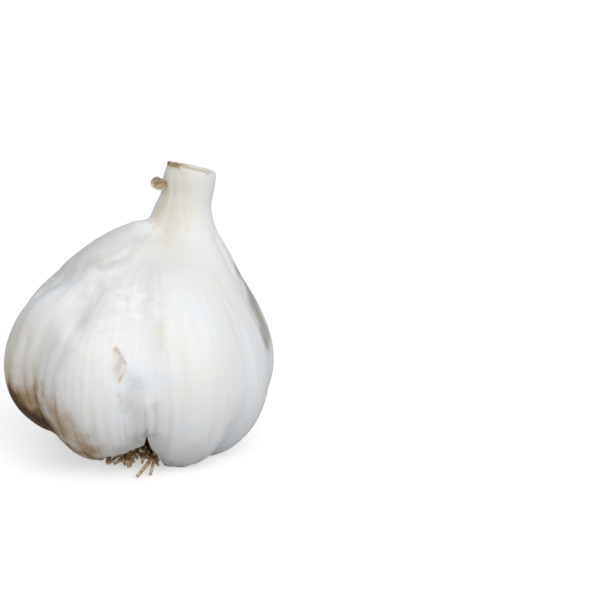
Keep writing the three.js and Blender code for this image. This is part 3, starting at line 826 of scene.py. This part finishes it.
def noise(tree, vector, scale, detail=2.0, roughness=0.5):
    """Soft noise from 0 to 1, read at the places that the vector gives."""
    return put(tree, "ShaderNodeTexNoise", None, Vector=vector, Scale=scale, Detail=detail,
               Roughness=roughness).outputs[0]


print("helpers for sums: times, plus, minus")

# %% Noise in streaks
def stretched_noise(tree, vector, across, lengthways, seed, detail=2.0):
    """Noise in streaks along the fibres, from -0.5 to 0.5."""
    scale = put(tree, "ShaderNodeCombineXYZ", None, X=across, Y=across, Z=lengthways).outputs[0]
    scaled = put(tree, "ShaderNodeVectorMath", {"operation": "MULTIPLY"}, i0=vector, i1=scale)
    streaky = put(tree, "ShaderNodeTexNoise", {"noise_dimensions": "4D"},
                  Vector=scaled.outputs[0], W=seed, Scale=1.0, Detail=detail, Roughness=0.5)
    return minus(tree, streaky.outputs[0], 0.5)


print("helper for streaks: stretched_noise")

# %% The fibre relief tree: three heights of relief
relief, given, result = new_tree(
    "Fibre relief", "GeometryNodeTree",
    {"Geometry": "Geometry", "Rib spacing": 19.0, "Rib height": 0.00013, "Fold height": 0.0005,
     "Crinkle height": 0.0001, "Seed": 3.0, "Material": "Material"},
    {"Geometry": "Geometry"})
space = put(relief, "GeometryNodeInputNamedAttribute", {"data_type": "FLOAT_VECTOR"},
            Name="fibre_space").outputs["Attribute"]
fade = put(relief, "GeometryNodeInputNamedAttribute", {"data_type": "FLOAT"},
           Name="fibre_fade").outputs["Attribute"]
seed = given.outputs["Seed"]
ribs = stretched_noise(relief, space, given.outputs["Rib spacing"], 0.9, seed)
folds = stretched_noise(relief, space, 4.5, 1.1, seed, 1.0)
crinkles = stretched_noise(relief, space, 9.0, 6.0, seed, 3.0)
rib_height = times(relief, ribs, given.outputs["Rib height"])
fold_height = times(relief, folds, given.outputs["Fold height"])
crinkle_height = times(relief, crinkles, given.outputs["Crinkle height"])
height = plus(relief, plus(relief, rib_height, fold_height), crinkle_height)
height = times(relief, times(relief, height, fade), 2.0)
print("fibre relief:", len(relief.nodes), "nodes for the height")

# %% The fibre relief tree: move each point along its normal
normal = put(relief, "GeometryNodeInputNormal").outputs[0]
offset = put(relief, "ShaderNodeVectorMath", {"operation": "SCALE"}, i0=normal, Scale=height)
moved = put(relief, "GeometryNodeSetPosition", None,
            Geometry=given.outputs["Geometry"], Offset=offset.outputs[0])
realised = put(relief, "GeometryNodeRealizeInstances", None, Geometry=moved.outputs[0])
dressed = put(relief, "GeometryNodeSetMaterial", None, Geometry=realised.outputs[0],
              Material=given.outputs["Material"])
feed(relief, result, Geometry=dressed.outputs[0])
print("fibre relief:", len(relief.nodes), "nodes in all")


# %% Run a tree and keep its result as a plain mesh
def run_tree(piece, tree, **values):
    """Runs a Geometry Nodes tree on a piece and swaps the piece's mesh for the result."""
    names = {s.name: s.identifier for s in tree.interface.items_tree if s.in_out == "INPUT"}
    modifier = piece.modifiers.new(tree.name, "NODES")
    modifier.node_group = tree
    for key, value in values.items():
        modifier[names[key.replace("_", " ")]] = value
    graph = bpy.context.evaluated_depsgraph_get()
    mesh = bpy.data.meshes.new_from_object(piece.evaluated_get(graph),
                                           preserve_all_data_layers=True, depsgraph=graph)
    name = piece.name
    bpy.data.objects.remove(piece)
    mesh.name = name
    return new_object(name, mesh)


print("trees to run:", [tree.name for tree in bpy.data.node_groups])

# %% [markdown]
# ## Finishes that several pieces share
# Streaks along the fibres show in the colour and the gloss of every dry part of the bulb, so they
# are a shader group. A second group breaks a painted stain or painted shade up into streaks and
# specks.

# %% Shader group: fibre streaks
streaks, given, result = new_tree(
    "Fibre streaks", "ShaderNodeTree",
    {"Vector": "Vector", "Across": 30.0, "Lengthways": 1.0, "Seed": 0.0},
    {"Streak": "Float", "Height": "Float"})
vector, across, lengthways, seed = given.outputs[:4]
coarse = stretched_noise(streaks, vector, across, lengthways, seed, 3.0)
fine = stretched_noise(streaks, vector, times(streaks, across, 3.1), lengthways, seed, 4.0)
total = plus(streaks, times(streaks, coarse, 0.65), times(streaks, fine, 0.5))
feed(streaks, result, Streak=plus(streaks, total, 0.5, clamp=True), Height=total)
print("streaks:", len(streaks.nodes), "nodes")

# %% Shader group: a stain or painted shade broken up
stain, given, result = new_tree(
    "Broken stain and shade", "ShaderNodeTree",
    {"Mask": 0.0, "Streak": 0.5, "Speck vector": "Vector", "Speck scale": 900.0, "Breakup": 0.5},
    {"Stain": "Float"})
mask, streak, speck_vector, speck_scale, breakup = given.outputs[:5]
specks = noise(stain, speck_vector, speck_scale, 4.0, 0.6)
both = plus(stain, times(stain, streak, 0.8), times(stain, specks, 0.7))
swing = times(stain, minus(stain, both, 0.75), breakup)
lifted = plus(stain, mask, times(stain, swing, times(stain, mask, 4.0, clamp=True)))
feed(stain, result, Stain=plus(stain, lifted, 0.0, clamp=True))
print("shader groups:", [g.name for g in bpy.data.node_groups if g.bl_idname == "ShaderNodeTree"])


# %% Helpers for materials
def new_material(name):
    """A material, its node tree and the Principled shader in it."""
    material = bpy.data.materials.new(name)
    material.use_nodes = True
    tree = material.node_tree
    return material, tree, tree.nodes["Principled BSDF"]


def group(tree, inner, **inputs):
    """Places a shader group in a material, with its own values."""
    return put(tree, "ShaderNodeGroup", {"node_tree": inner}, **inputs)


def attribute(tree, name, output="Fac"):
    """A value that a piece keeps on its points."""
    return put(tree, "ShaderNodeAttribute", {"attribute_name": name}).outputs[output]


print("helpers for materials: new_material, group, attribute")


# %% Colours mixed, values stretched, surfaces tilted
def mix(tree, amount, a, b):
    """Mixes two colours, each a socket or an (r, g, b)."""
    node = tree.nodes.new("ShaderNodeMix")
    node.data_type = "RGBA"
    for socket, value in ((node.inputs[0], amount), (node.inputs[6], a), (node.inputs[7], b)):
        if isinstance(value, bpy.types.NodeSocket):
            tree.links.new(value, socket)
        elif isinstance(value, tuple):
            socket.default_value = (*value, 1)
        else:
            socket.default_value = value
    return node.outputs[2]


def ramp(tree, value, low, high):
    """Stretches the part of a value between low and high to 0 to 1."""
    return put(tree, "ShaderNodeMapRange", {"interpolation_type": "SMOOTHSTEP"}, Value=value,
               From_Min=low, From_Max=high).outputs[0]


def bump(tree, shader, height, strength, distance):
    """Tilts the shading as a relief of that height would."""
    node = put(tree, "ShaderNodeBump", None, Height=height, Strength=strength, Distance=distance)
    feed(tree, shader, Normal=node.outputs[0])


print("helpers for finishes: mix, ramp, bump")

# %% [markdown]
# ## The papery skin
# Garlic skin is thin, off-white and silky. Light goes a little way into it, and its fibres catch
# the light in long streaks. The base colour wanders between cream and a cool white, stains, painted
# shade and a painted highlight come from the painted values, and a bump from the same streaks makes
# the sheen run lengthways.

# %% Material: papery skin, its clean colour
skin_finish, tree, shader = new_material("papery_skin")
here = put(tree, "ShaderNodeTexCoord").outputs["Object"]
fibre = attribute(tree, "fibre_space", "Vector")
streak = group(tree, streaks, Vector=fibre, Across=26.0, Lengthways=0.9, Seed=1.0)
long_streak = group(tree, streaks, Vector=fibre, Across=7.0, Lengthways=0.5, Seed=5.0)
cloud = noise(tree, here, 70.0, 3.0, 0.55)
mottle = noise(tree, here, 420.0, 4.0, 0.65)

colour = mix(tree, ramp(tree, cloud, 0.35, 0.65), (0.80, 0.79, 0.765), (0.785, 0.80, 0.82))
strong = plus(tree, times(tree, attribute(tree, "streaky"), 0.50), 0.12)
dark_fibre = ramp(tree, streak.outputs["Streak"], 0.56, 0.26)
colour = mix(tree, times(tree, dark_fibre, strong), colour, (0.47, 0.45, 0.42))
warm_fibre = ramp(tree, long_streak.outputs["Streak"], 0.52, 0.8)
colour = mix(tree, times(tree, warm_fibre, 0.16), colour, (0.74, 0.69, 0.58))
flakes_and_highlight = times(tree, attribute(tree, "pale_flakes_and_highlight"), ramp(tree, mottle, 0.42, 0.62))
print("papery skin:", len(tree.nodes), "nodes so far")

# %% Material: papery skin, its stains, painted shade and painted highlight
def broken(name, speck_scale, breakup):
    """A painted stain or painted shade of the skin, broken up along its fibres and into specks."""
    return group(tree, stain, Mask=attribute(tree, name), Streak=streak.outputs["Streak"],
                 Speck_vector=here, Speck_scale=speck_scale, Breakup=breakup).outputs[0]


# grey is painted shade: it darkens creases, valleys and the sides turned from the key light
grey_shade = broken("grey_shade", 300.0, 0.5)
colour = mix(tree, times(tree, grey_shade, 0.75), colour, (0.26, 0.26, 0.255))
# pale flaking skin, and a painted highlight where the key light falls on the front shoulders
colour = mix(tree, times(tree, flakes_and_highlight, 0.55), colour, (0.90, 0.90, 0.90))
yellow = broken("yellow", 500.0, 0.8)
colour = mix(tree, times(tree, yellow, 0.65), colour, (0.64, 0.53, 0.30))
# brown: soil stains, and painted shade at the lower left foot and down the right side; at their
# strongest they run to near black
brown_stain_and_shade = broken("brown_stain_and_shade", 260.0, 0.9)
colour = mix(tree, ramp(tree, brown_stain_and_shade, 0.02, 0.75), colour, (0.41, 0.25, 0.10))
colour = mix(tree, ramp(tree, brown_stain_and_shade, 0.45, 1.1), colour, (0.060, 0.025, 0.009))
colour = mix(tree, attribute(tree, "hollow"), colour, (0.24, 0.13, 0.07))
feed(tree, shader, Base_Color=colour)
print("papery skin:", len(tree.nodes), "nodes with its stains")

# %% Material: papery skin, its gloss
gloss = plus(tree, times(tree, streak.outputs["Streak"], -0.22), 0.56)
gloss = plus(tree, gloss, times(tree, brown_stain_and_shade, 0.4))
gloss = plus(tree, gloss, times(tree, grey_shade, 0.3))
height = plus(tree, streak.outputs["Height"], times(tree, mottle, 0.35))
height = times(tree, height, attribute(tree, "fibre_fade"))
bump(tree, shader, height, 0.35, 0.0002)
feed(tree, shader, Roughness=gloss, Specular_IOR_Level=0.36, Coat_Weight=0.06,
     Coat_Roughness=0.35, Subsurface_Weight=0.12, Subsurface_Radius=(1.0, 0.85, 0.6),
     Subsurface_Scale=0.0018)
print("papery skin:", len(tree.nodes), "nodes in all")

# %% Raise the fibres and dress the skin
skin = run_tree(skin, relief, Rib_spacing=19.0, Rib_height=0.00013, Fold_height=0.0005,
                Crinkle_height=0.0001, Seed=3.0, Material=skin_finish)
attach(skin, "root")
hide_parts("wrapped_bulb")
print(skin.name, len(skin.data.polygons), "faces")

# %% [markdown]
# ## Inside the neck
# The cut shows the bulb's dried sheaths nested in each other like rolled paper, round a withered
# brown pith. Each sheath is a thin closed tube that follows the neck's outline, a little crumpled
# and cut at its own height.

# %% The sheaths' sizes
SHEATHS = [  # inset, thickness, how far below the cut
    (0.44, 0.30, 0.02), (0.80, 0.28, 0.10), (1.14, 0.30, 0.00), (1.50, 0.28, 0.12),
    (1.86, 0.34, 0.05),
]
SHEATH_STEPS = 12
SHEATH_DEPTH = NECK_LINING - 0.2
SHORTER = 0.97  # keeps the foot of each sheath off the floor of the neck's pocket
THIN = 3  # a sheath takes one column of the skin in three
print(len(SHEATHS), "sheaths,", SHEATH_DEPTH, "mm deep")


# %% How a sheath is made
def crumpled_ring(inset, down, crumple):
    """A ring inside the neck, pushed in and out by a crumple of its own."""
    ring = neck_ring(inset, down)
    push = (ring - cut_middle)
    push /= np.linalg.norm(push, axis=-1, keepdims=True)
    return ring + push * crumple[:, None]


def sheath(name, inset, thickness, below):
    """A closed tube: up its outside to the cut, over the edge, and down its inside."""
    crumple = wavy(angles, (3, 5, 8), 0.05) + wavy(angles, (13, 21), 0.02)
    edge = below + wavy(angles, (2, 3, 7), 0.12) + wavy(angles, (19, 33), 0.05)
    depths = np.linspace(0, SHEATH_DEPTH, SHEATH_STEPS)
    outside = [crumpled_ring(inset, edge + down * SHORTER, crumple) for down in depths[::-1]]
    lip = [crumpled_ring(inset + thickness / 2, edge - 0.03, crumple)]
    within = [crumpled_ring(inset + thickness, edge + down * SHORTER, crumple)
              for down in depths]
    rings = np.array(outside + lip + within)[:, ::THIN]
    piece = mesh_from_rings(name, np.concatenate([rings, rings[:1]]), close_ends=False)
    return piece, rings


print("the middle of the cut is at", cut_middle.round(1))


# %% How a piece is dressed
def dress(piece, finish, node=None):
    """Gives a piece its finish, and says which solid of the model it replaces."""
    piece.data.materials.append(finish)
    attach(piece, "root")
    if node:
        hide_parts(node)


# %% Material: dried sheaths
sheath_finish, tree, shader = new_material("dried_sheaths")
fibre = attribute(tree, "fibre_space", "Vector")
streak = group(tree, streaks, Vector=fibre, Across=16.0, Lengthways=1.2, Seed=8.0)
dry = plus(tree, attribute(tree, "dryness"), minus(tree, streak.outputs["Streak"], 0.5))
colour = mix(tree, ramp(tree, dry, 0.0, 0.55), (0.74, 0.71, 0.65), (0.50, 0.37, 0.22))
colour = mix(tree, ramp(tree, dry, 0.55, 1.1), colour, (0.13, 0.075, 0.04))
feed(tree, shader, Base_Color=colour, Roughness=0.75)
bump(tree, shader, streak.outputs["Height"], 0.6, 0.0002)
print("dried sheaths:", len(tree.nodes), "nodes")

# %% The sheaths
thin_angles = angles[::THIN]
for number, (inset, thickness, below) in enumerate(SHEATHS):
    piece, rings = sheath("neck_sheath_%d" % (number + 1), inset, thickness, below)
    spots = np.broadcast_to(thin_angles, (len(rings) + 1, len(thin_angles)))
    store(piece, "fibre_space", np.stack([
        np.cos(spots), np.sin(spots), 0 * spots + number], -1).reshape(-1, 3), "FLOAT_VECTOR")
    left = 0.5 - 0.5 * np.cos(spots)  # the left side of the cut is the driest
    store(piece, "dryness", (0.03 * number + 0.95 * left**3 - 0.18).ravel())
    dress(piece, sheath_finish)
    print(piece.name, len(piece.data.polygons), "faces")

# %% The pith
PITH_INSET = 2.26
PITH_STEPS = [  # how far below the cut, and how much further in
    (4.6, 0), (2.5, 0), (1.2, 0), (0.4, 0.06), (0.2, 0.3), (0.3, 0.8), (0.45, 1.3), (0.35, 1.7),
]
PITH_THIN = 4
lumps = wavy(angles, (2, 4, 7), 0.12)
pith_rings = [crumpled_ring(PITH_INSET + inset, down + 0 * angles, lumps)
              for down, inset in PITH_STEPS]
pith_rings = np.array(pith_rings)[:, ::PITH_THIN]
pith = mesh_from_rings("neck_pith", pith_rings)
spots = np.broadcast_to(angles[::PITH_THIN], pith_rings.shape[:2])
store(pith, "fibre_space", np.stack([np.cos(spots), np.sin(spots), 0 * spots + 7], -1)
      .reshape(-1, 3), "FLOAT_VECTOR")
store(pith, "dryness", np.full(spots.size, 0.25))
dress(pith, sheath_finish, "neck_core")
print(pith.name, len(pith.data.polygons), "faces")

# %% [markdown]
# ## A shred of old leaf
# High on the neck hangs a scrap of the outermost leaf, curled up like a small ear. It is a thin
# cupped flap. A grid of points gives its outline, and it gets its thickness by a second layer
# behind the first.

# %% The size of the shred
SHRED_ROOT = np.array([7.7, -2.5, 59.2])
SHRED_TIP = np.array([4.4, -2.6, 59.6])
SHRED_THICKNESS = 0.22
SHRED_CUP = 0.9
SHRED_HEIGHT = [(0, 0.75), (0.25, 1.2), (0.55, 1.45), (0.8, 1.2), (0.94, 0.75), (1, 0.3)]
SHRED_STEPS = 40
SHRED_HALF = 14  # grid lines from its middle to its upper edge, and as many below
print("the shred is", round(float(np.linalg.norm(SHRED_ROOT - SHRED_TIP)), 1), "mm long")

# %% Its two layers, ring by ring
shred_rings = []
shred_marks = []
for share in np.linspace(0, 1, SHRED_STEPS):
    middle = SHRED_ROOT * (1 - share) + SHRED_TIP * share
    t = np.linspace(-1, 1, 2 * SHRED_HALF + 1)
    ragged = 1 + 0.05 * np.sin(9 * share + 2 * t) + 0.04 * np.sin(31 * share + 5 * t)
    tall = smooth_along(SHRED_HEIGHT, share) * ragged
    wrinkle = 0.10 * np.sin(7 * t + 5 * share) + 0.05 * np.sin(19 * t - 8 * share)
    front = np.stack([0 * t, -SHRED_CUP * t * t * (0.4 + 0.6 * share) + wrinkle, tall * t], -1)
    front += middle
    back = (front + [0, SHRED_THICKNESS, 0])[::-1]
    shred_rings.append(np.concatenate([front, back]))
    shred_marks.append(np.concatenate([np.abs(t), np.abs(t)[::-1]]))
shred = mesh_from_rings("leaf_shred", np.array(shred_rings))
edge_mark = np.array(shred_marks)
lengthways = np.broadcast_to(np.linspace(0, 1, SHRED_STEPS)[:, None], edge_mark.shape)
store(shred, "fibre_space", np.stack([edge_mark, edge_mark * 0, lengthways], -1).reshape(-1, 3),
      "FLOAT_VECTOR")
store(shred, "edge", np.maximum(edge_mark, lengthways).ravel())
print(shred.name, len(shred.data.polygons), "faces")

# %% Material: old leaf
shred_finish, tree, shader = new_material("old_leaf")
fibre = attribute(tree, "fibre_space", "Vector")
here = put(tree, "ShaderNodeTexCoord").outputs["Object"]
streak = group(tree, streaks, Vector=fibre, Across=9.0, Lengthways=1.5, Seed=2.0)
blotch = noise(tree, here, 900.0, 3.0)
colour = mix(tree, ramp(tree, streak.outputs["Streak"], 0.35, 0.7), (0.36, 0.25, 0.13),
             (0.52, 0.42, 0.27))
colour = mix(tree, ramp(tree, attribute(tree, "edge"), 0.72, 1.0), colour, (0.66, 0.62, 0.52))
colour = mix(tree, times(tree, ramp(tree, blotch, 0.6, 0.75), 0.7), colour,
             (0.12, 0.08, 0.05))
feed(tree, shader, Base_Color=colour, Roughness=0.7)
bump(tree, shader, streak.outputs["Height"], 0.5, 0.0002)
dress(shred, shred_finish, "dry_scrap")
print("old leaf:", len(tree.nodes), "nodes")

# %% [markdown]
# ## The corky disc and its roots
# Everything grows from a corky disc in the hollow of the foot. The roots were trimmed, so short
# stiff ends curl up under the disc, and a few splay out in front through the broken skin. A
# seeded rule draws one line for each root, and a Geometry Nodes tree turns the lines into knobbly
# tapering tubes.

# %% The disc
PLATE_RADIUS = 6.4
PLATE_TOP = 6.2
PLATE_THICKNESS = 2.4
PLATE_FOOT = PLATE_TOP - PLATE_THICKNESS
DISC = [  # radius as a share of the whole, height
    (0.05, PLATE_FOOT + 0.1), (0.3, PLATE_FOOT), (0.5, PLATE_FOOT + 0.1), (0.7, PLATE_FOOT),
    (0.86, PLATE_FOOT + 0.25), (0.97, PLATE_FOOT + 0.7), (1.0, PLATE_FOOT + 1.3),
    (0.95, PLATE_TOP - 0.6), (0.84, PLATE_TOP), (0.5, PLATE_TOP), (0.1, PLATE_TOP),
]
DISC_AROUND = 96
disc_angles = np.linspace(0, 2 * math.pi, DISC_AROUND + 1)[:-1]
disc_rings = []
for r, z in DISC:
    lump = 1 + wavy(disc_angles, (5, 9, 14), 0.05) + wavy(disc_angles, (23, 31), 0.02)
    up = wavy(disc_angles, (7, 12, 19), 0.22) * (z < PLATE_FOOT + 1)
    disc_rings.append(np.stack([PLATE_RADIUS * r * lump * np.cos(disc_angles),
                                PLATE_RADIUS * r * lump * np.sin(disc_angles), z + up], -1))
disc = mesh_from_rings("root_disc", np.array(disc_rings))
print(disc.name, len(disc.data.polygons), "faces")

# %% A bent line
BEND_STEPS = 14


def bent(points):
    """A smooth line with many points through the few given ones."""
    points = np.array(points)
    s = np.arange(len(points))
    fine = np.linspace(0, len(points) - 1, BEND_STEPS + 1)
    return np.stack([smooth_along(list(zip(s, points[:, k])), fine) for k in range(3)], -1)


print("a root's line has", BEND_STEPS + 1, "points")

# %% One line for each root
ROOT_RADIUS = 0.56
BREAK_SIDES = (-5.0, 5.9)  # the splayed roots stay between the sides of the broken skin
ROOTS_UNDER = 46
ROOTS_IN_FRONT = 112
root_rng = np.random.default_rng(21)


def root_line(number):
    """A root's line and its radius. The first ones curl up under the disc, the others splay out."""
    splays = number >= ROOTS_UNDER
    spread = root_rng.uniform
    turn = math.radians(spread(240, 292)) if splays else number * 2.4 + spread(-0.2, 0.2)
    start = spread(3.0, 5.8) if splays else (
        PLATE_RADIUS * math.sqrt((number + 0.5) / ROOTS_UNDER) * 0.93)
    end = spread(13, 18.6) if splays else min(start + spread(1.0, 3.2), 8.0)
    aside = spread(-1.6, 1.6)
    tip = spread(0.6, 4.4) if splays else spread(0.55, 1.6)
    middle = max(spread(1.2, 4.4), tip) if splays else spread(1.3, 2.4)

    def place(out, sideways, z):
        return [math.cos(turn) * out - math.sin(turn) * sideways,
                math.sin(turn) * out + math.cos(turn) * sideways, z]

    line = np.array([place(start, 0, PLATE_FOOT + 0.7),
                     place(start + 0.8, aside * 0.3, PLATE_FOOT - 0.8),
                     place((start + end) / 2, aside, middle), place(end, -aside * 0.7, tip)])
    if splays:
        line[:, 0] = np.clip(line[:, 0], *BREAK_SIDES)
    return bent(line), ROOT_RADIUS * spread(0.55, 1.05)


lines = [root_line(i) for i in range(ROOTS_UNDER + ROOTS_IN_FRONT)]
print(len(lines), "seeded root lines")

# %% A few roots, listed one by one
LONG_ROOTS = [  # the two stubs that reach furthest out on the floor, and one behind the hem
    ([(3, -4.5, 4.3), (4.2, -11, 2.9), (4.4, -18.5, 2.6), (2.1, -23.3, 0.62)], 0.56),
    ([(2.6, -5, 4.3), (4.4, -12, 2.4), (5.2, -18, 2.3), (4.7, -22.1, 0.62)], 0.50),
    ([(-1.5, -5, 4.3), (-3.4, -10, 2.6), (-4.4, -15, 2.0), (-4.8, -18.6, 1.7)], 0.36),
]
lines += [(bent(points), radius) for points, radius in LONG_ROOTS]
print(len(lines), "root lines in all")

# %% The lines as one curve, thinner towards each tip
ROOT_TAPER = 0.35
curve = bpy.data.curves.new("rootlets", "CURVE")
curve.dimensions = "3D"
for points, radius in lines:
    spline = curve.splines.new("POLY")
    spline.points.add(len(points) - 1)
    placed_points = (points + RING_CENTRE) * MM
    for k, point in enumerate(placed_points):
        spline.points[k].co = (*point, 1)
        spline.points[k].radius = radius * (1 - ROOT_TAPER * k / (len(points) - 1))
roots = new_object("rootlets", curve)
print(roots.name, len(curve.splines), "splines")

# %% The root tree: tubes along the lines
rooting, given, result = new_tree(
    "Rootlets", "GeometryNodeTree",
    {"Geometry": "Geometry", "Sides": 9, "Knobbliness": 0.00014, "Knob scale": 1300.0,
     "Seed": 6.0, "Material": "Material"},
    {"Geometry": "Geometry"})
length = put(rooting, "GeometryNodeSplineParameter").outputs["Factor"]
marked = put(rooting, "GeometryNodeStoreNamedAttribute", {"data_type": "FLOAT", "domain": "POINT"},
             Geometry=given.outputs["Geometry"], Name="along_root", Value=length)
ring = put(rooting, "GeometryNodeCurvePrimitiveCircle", None,
           Resolution=given.outputs["Sides"], Radius=MM)
root_radius = put(rooting, "GeometryNodeInputRadius").outputs[0]
tubes = put(rooting, "GeometryNodeCurveToMesh", None, Curve=marked.outputs[0],
            Profile_Curve=ring.outputs[0], Scale=root_radius, Fill_Caps=True)
print("root tree:", len(rooting.nodes), "nodes for the tubes")

# %% The root tree: knobs, smooth shading and the finish
spot = put(rooting, "GeometryNodeInputPosition").outputs[0]
knobs = put(rooting, "ShaderNodeTexNoise", {"noise_dimensions": "4D"}, Vector=spot,
            W=given.outputs["Seed"], Scale=given.outputs["Knob scale"], Detail=2.0)
swell = times(rooting, minus(rooting, knobs.outputs[0], 0.5), given.outputs["Knobbliness"])
swell = times(rooting, swell, 2.0)
out_way = put(rooting, "GeometryNodeInputNormal").outputs[0]
push = put(rooting, "ShaderNodeVectorMath", {"operation": "SCALE"}, i0=out_way, Scale=swell)
knobbly = put(rooting, "GeometryNodeSetPosition", None, Geometry=tubes.outputs[0],
              Offset=push.outputs[0])
soft = put(rooting, "GeometryNodeSetShadeSmooth", None, Geometry=knobbly.outputs[0])
realised = put(rooting, "GeometryNodeRealizeInstances", None, Geometry=soft.outputs[0])
dressed = put(rooting, "GeometryNodeSetMaterial", None, Geometry=realised.outputs[0],
              Material=given.outputs["Material"])
feed(rooting, result, Geometry=dressed.outputs[0])
print("root tree:", len(rooting.nodes), "nodes in all")

# %% Material: corky root
root_finish, tree, shader = new_material("corky_root")
here = put(tree, "ShaderNodeTexCoord").outputs["Object"]
cork = noise(tree, here, 1200.0, 5.0, 0.65)
tone = noise(tree, here, 330.0)
colour = mix(tree, ramp(tree, tone, 0.38, 0.62), (0.11, 0.038, 0.012), (0.48, 0.25, 0.095))
colour = mix(tree, ramp(tree, attribute(tree, "along_root"), 0.70, 1.0), colour,
             (0.68, 0.53, 0.34))
colour = mix(tree, times(tree, ramp(tree, cork, 0.55, 0.35), 0.7), colour,
             (0.085, 0.034, 0.013))
feed(tree, shader, Base_Color=colour, Roughness=0.85, Specular_IOR_Level=0.2)
bump(tree, shader, cork, 0.8, 0.0003)
print("corky root:", len(tree.nodes), "nodes")

# %% Grow the roots
roots = run_tree(roots, rooting, Sides=9, Knobbliness=0.00014, Seed=6.0, Material=root_finish)
store(disc, "along_root", np.zeros(len(disc.data.vertices)))
dress(disc, root_finish, "root_tuft")
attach(roots, "root")
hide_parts("root_tuft")
print("roots:", len(roots.data.polygons), "faces")

# %% [markdown]
# ## The floor's finish
# A plain pale sheet with a very faint tooth, so that it isn't one flat value. In a studio such a
# sheet is lit up on its own until it looks white. Here it gives off a little light to the camera
# alone, and throws back less light than white paper would, so the bulb's underside keeps its
# shade.

# %% Material: floor
floor_finish, tree, shader = new_material("pale_floor")
here = put(tree, "ShaderNodeTexCoord").outputs["Object"]
tooth = noise(tree, here, 300.0)
seen = put(tree, "ShaderNodeLightPath").outputs["Is Camera Ray"]
colour = mix(tree, tooth, (0.64, 0.64, 0.64), (0.66, 0.66, 0.66))
colour = mix(tree, seen, (0.48, 0.48, 0.48), colour)
feed(tree, shader, Base_Color=colour, Roughness=0.9, Specular_IOR_Level=0.1,
     Emission_Color=(1, 1, 1, 1), Emission_Strength=times(tree, seen, 0.52))
floor.data.materials.append(floor_finish)
print("pale floor:", len(tree.nodes), "nodes")
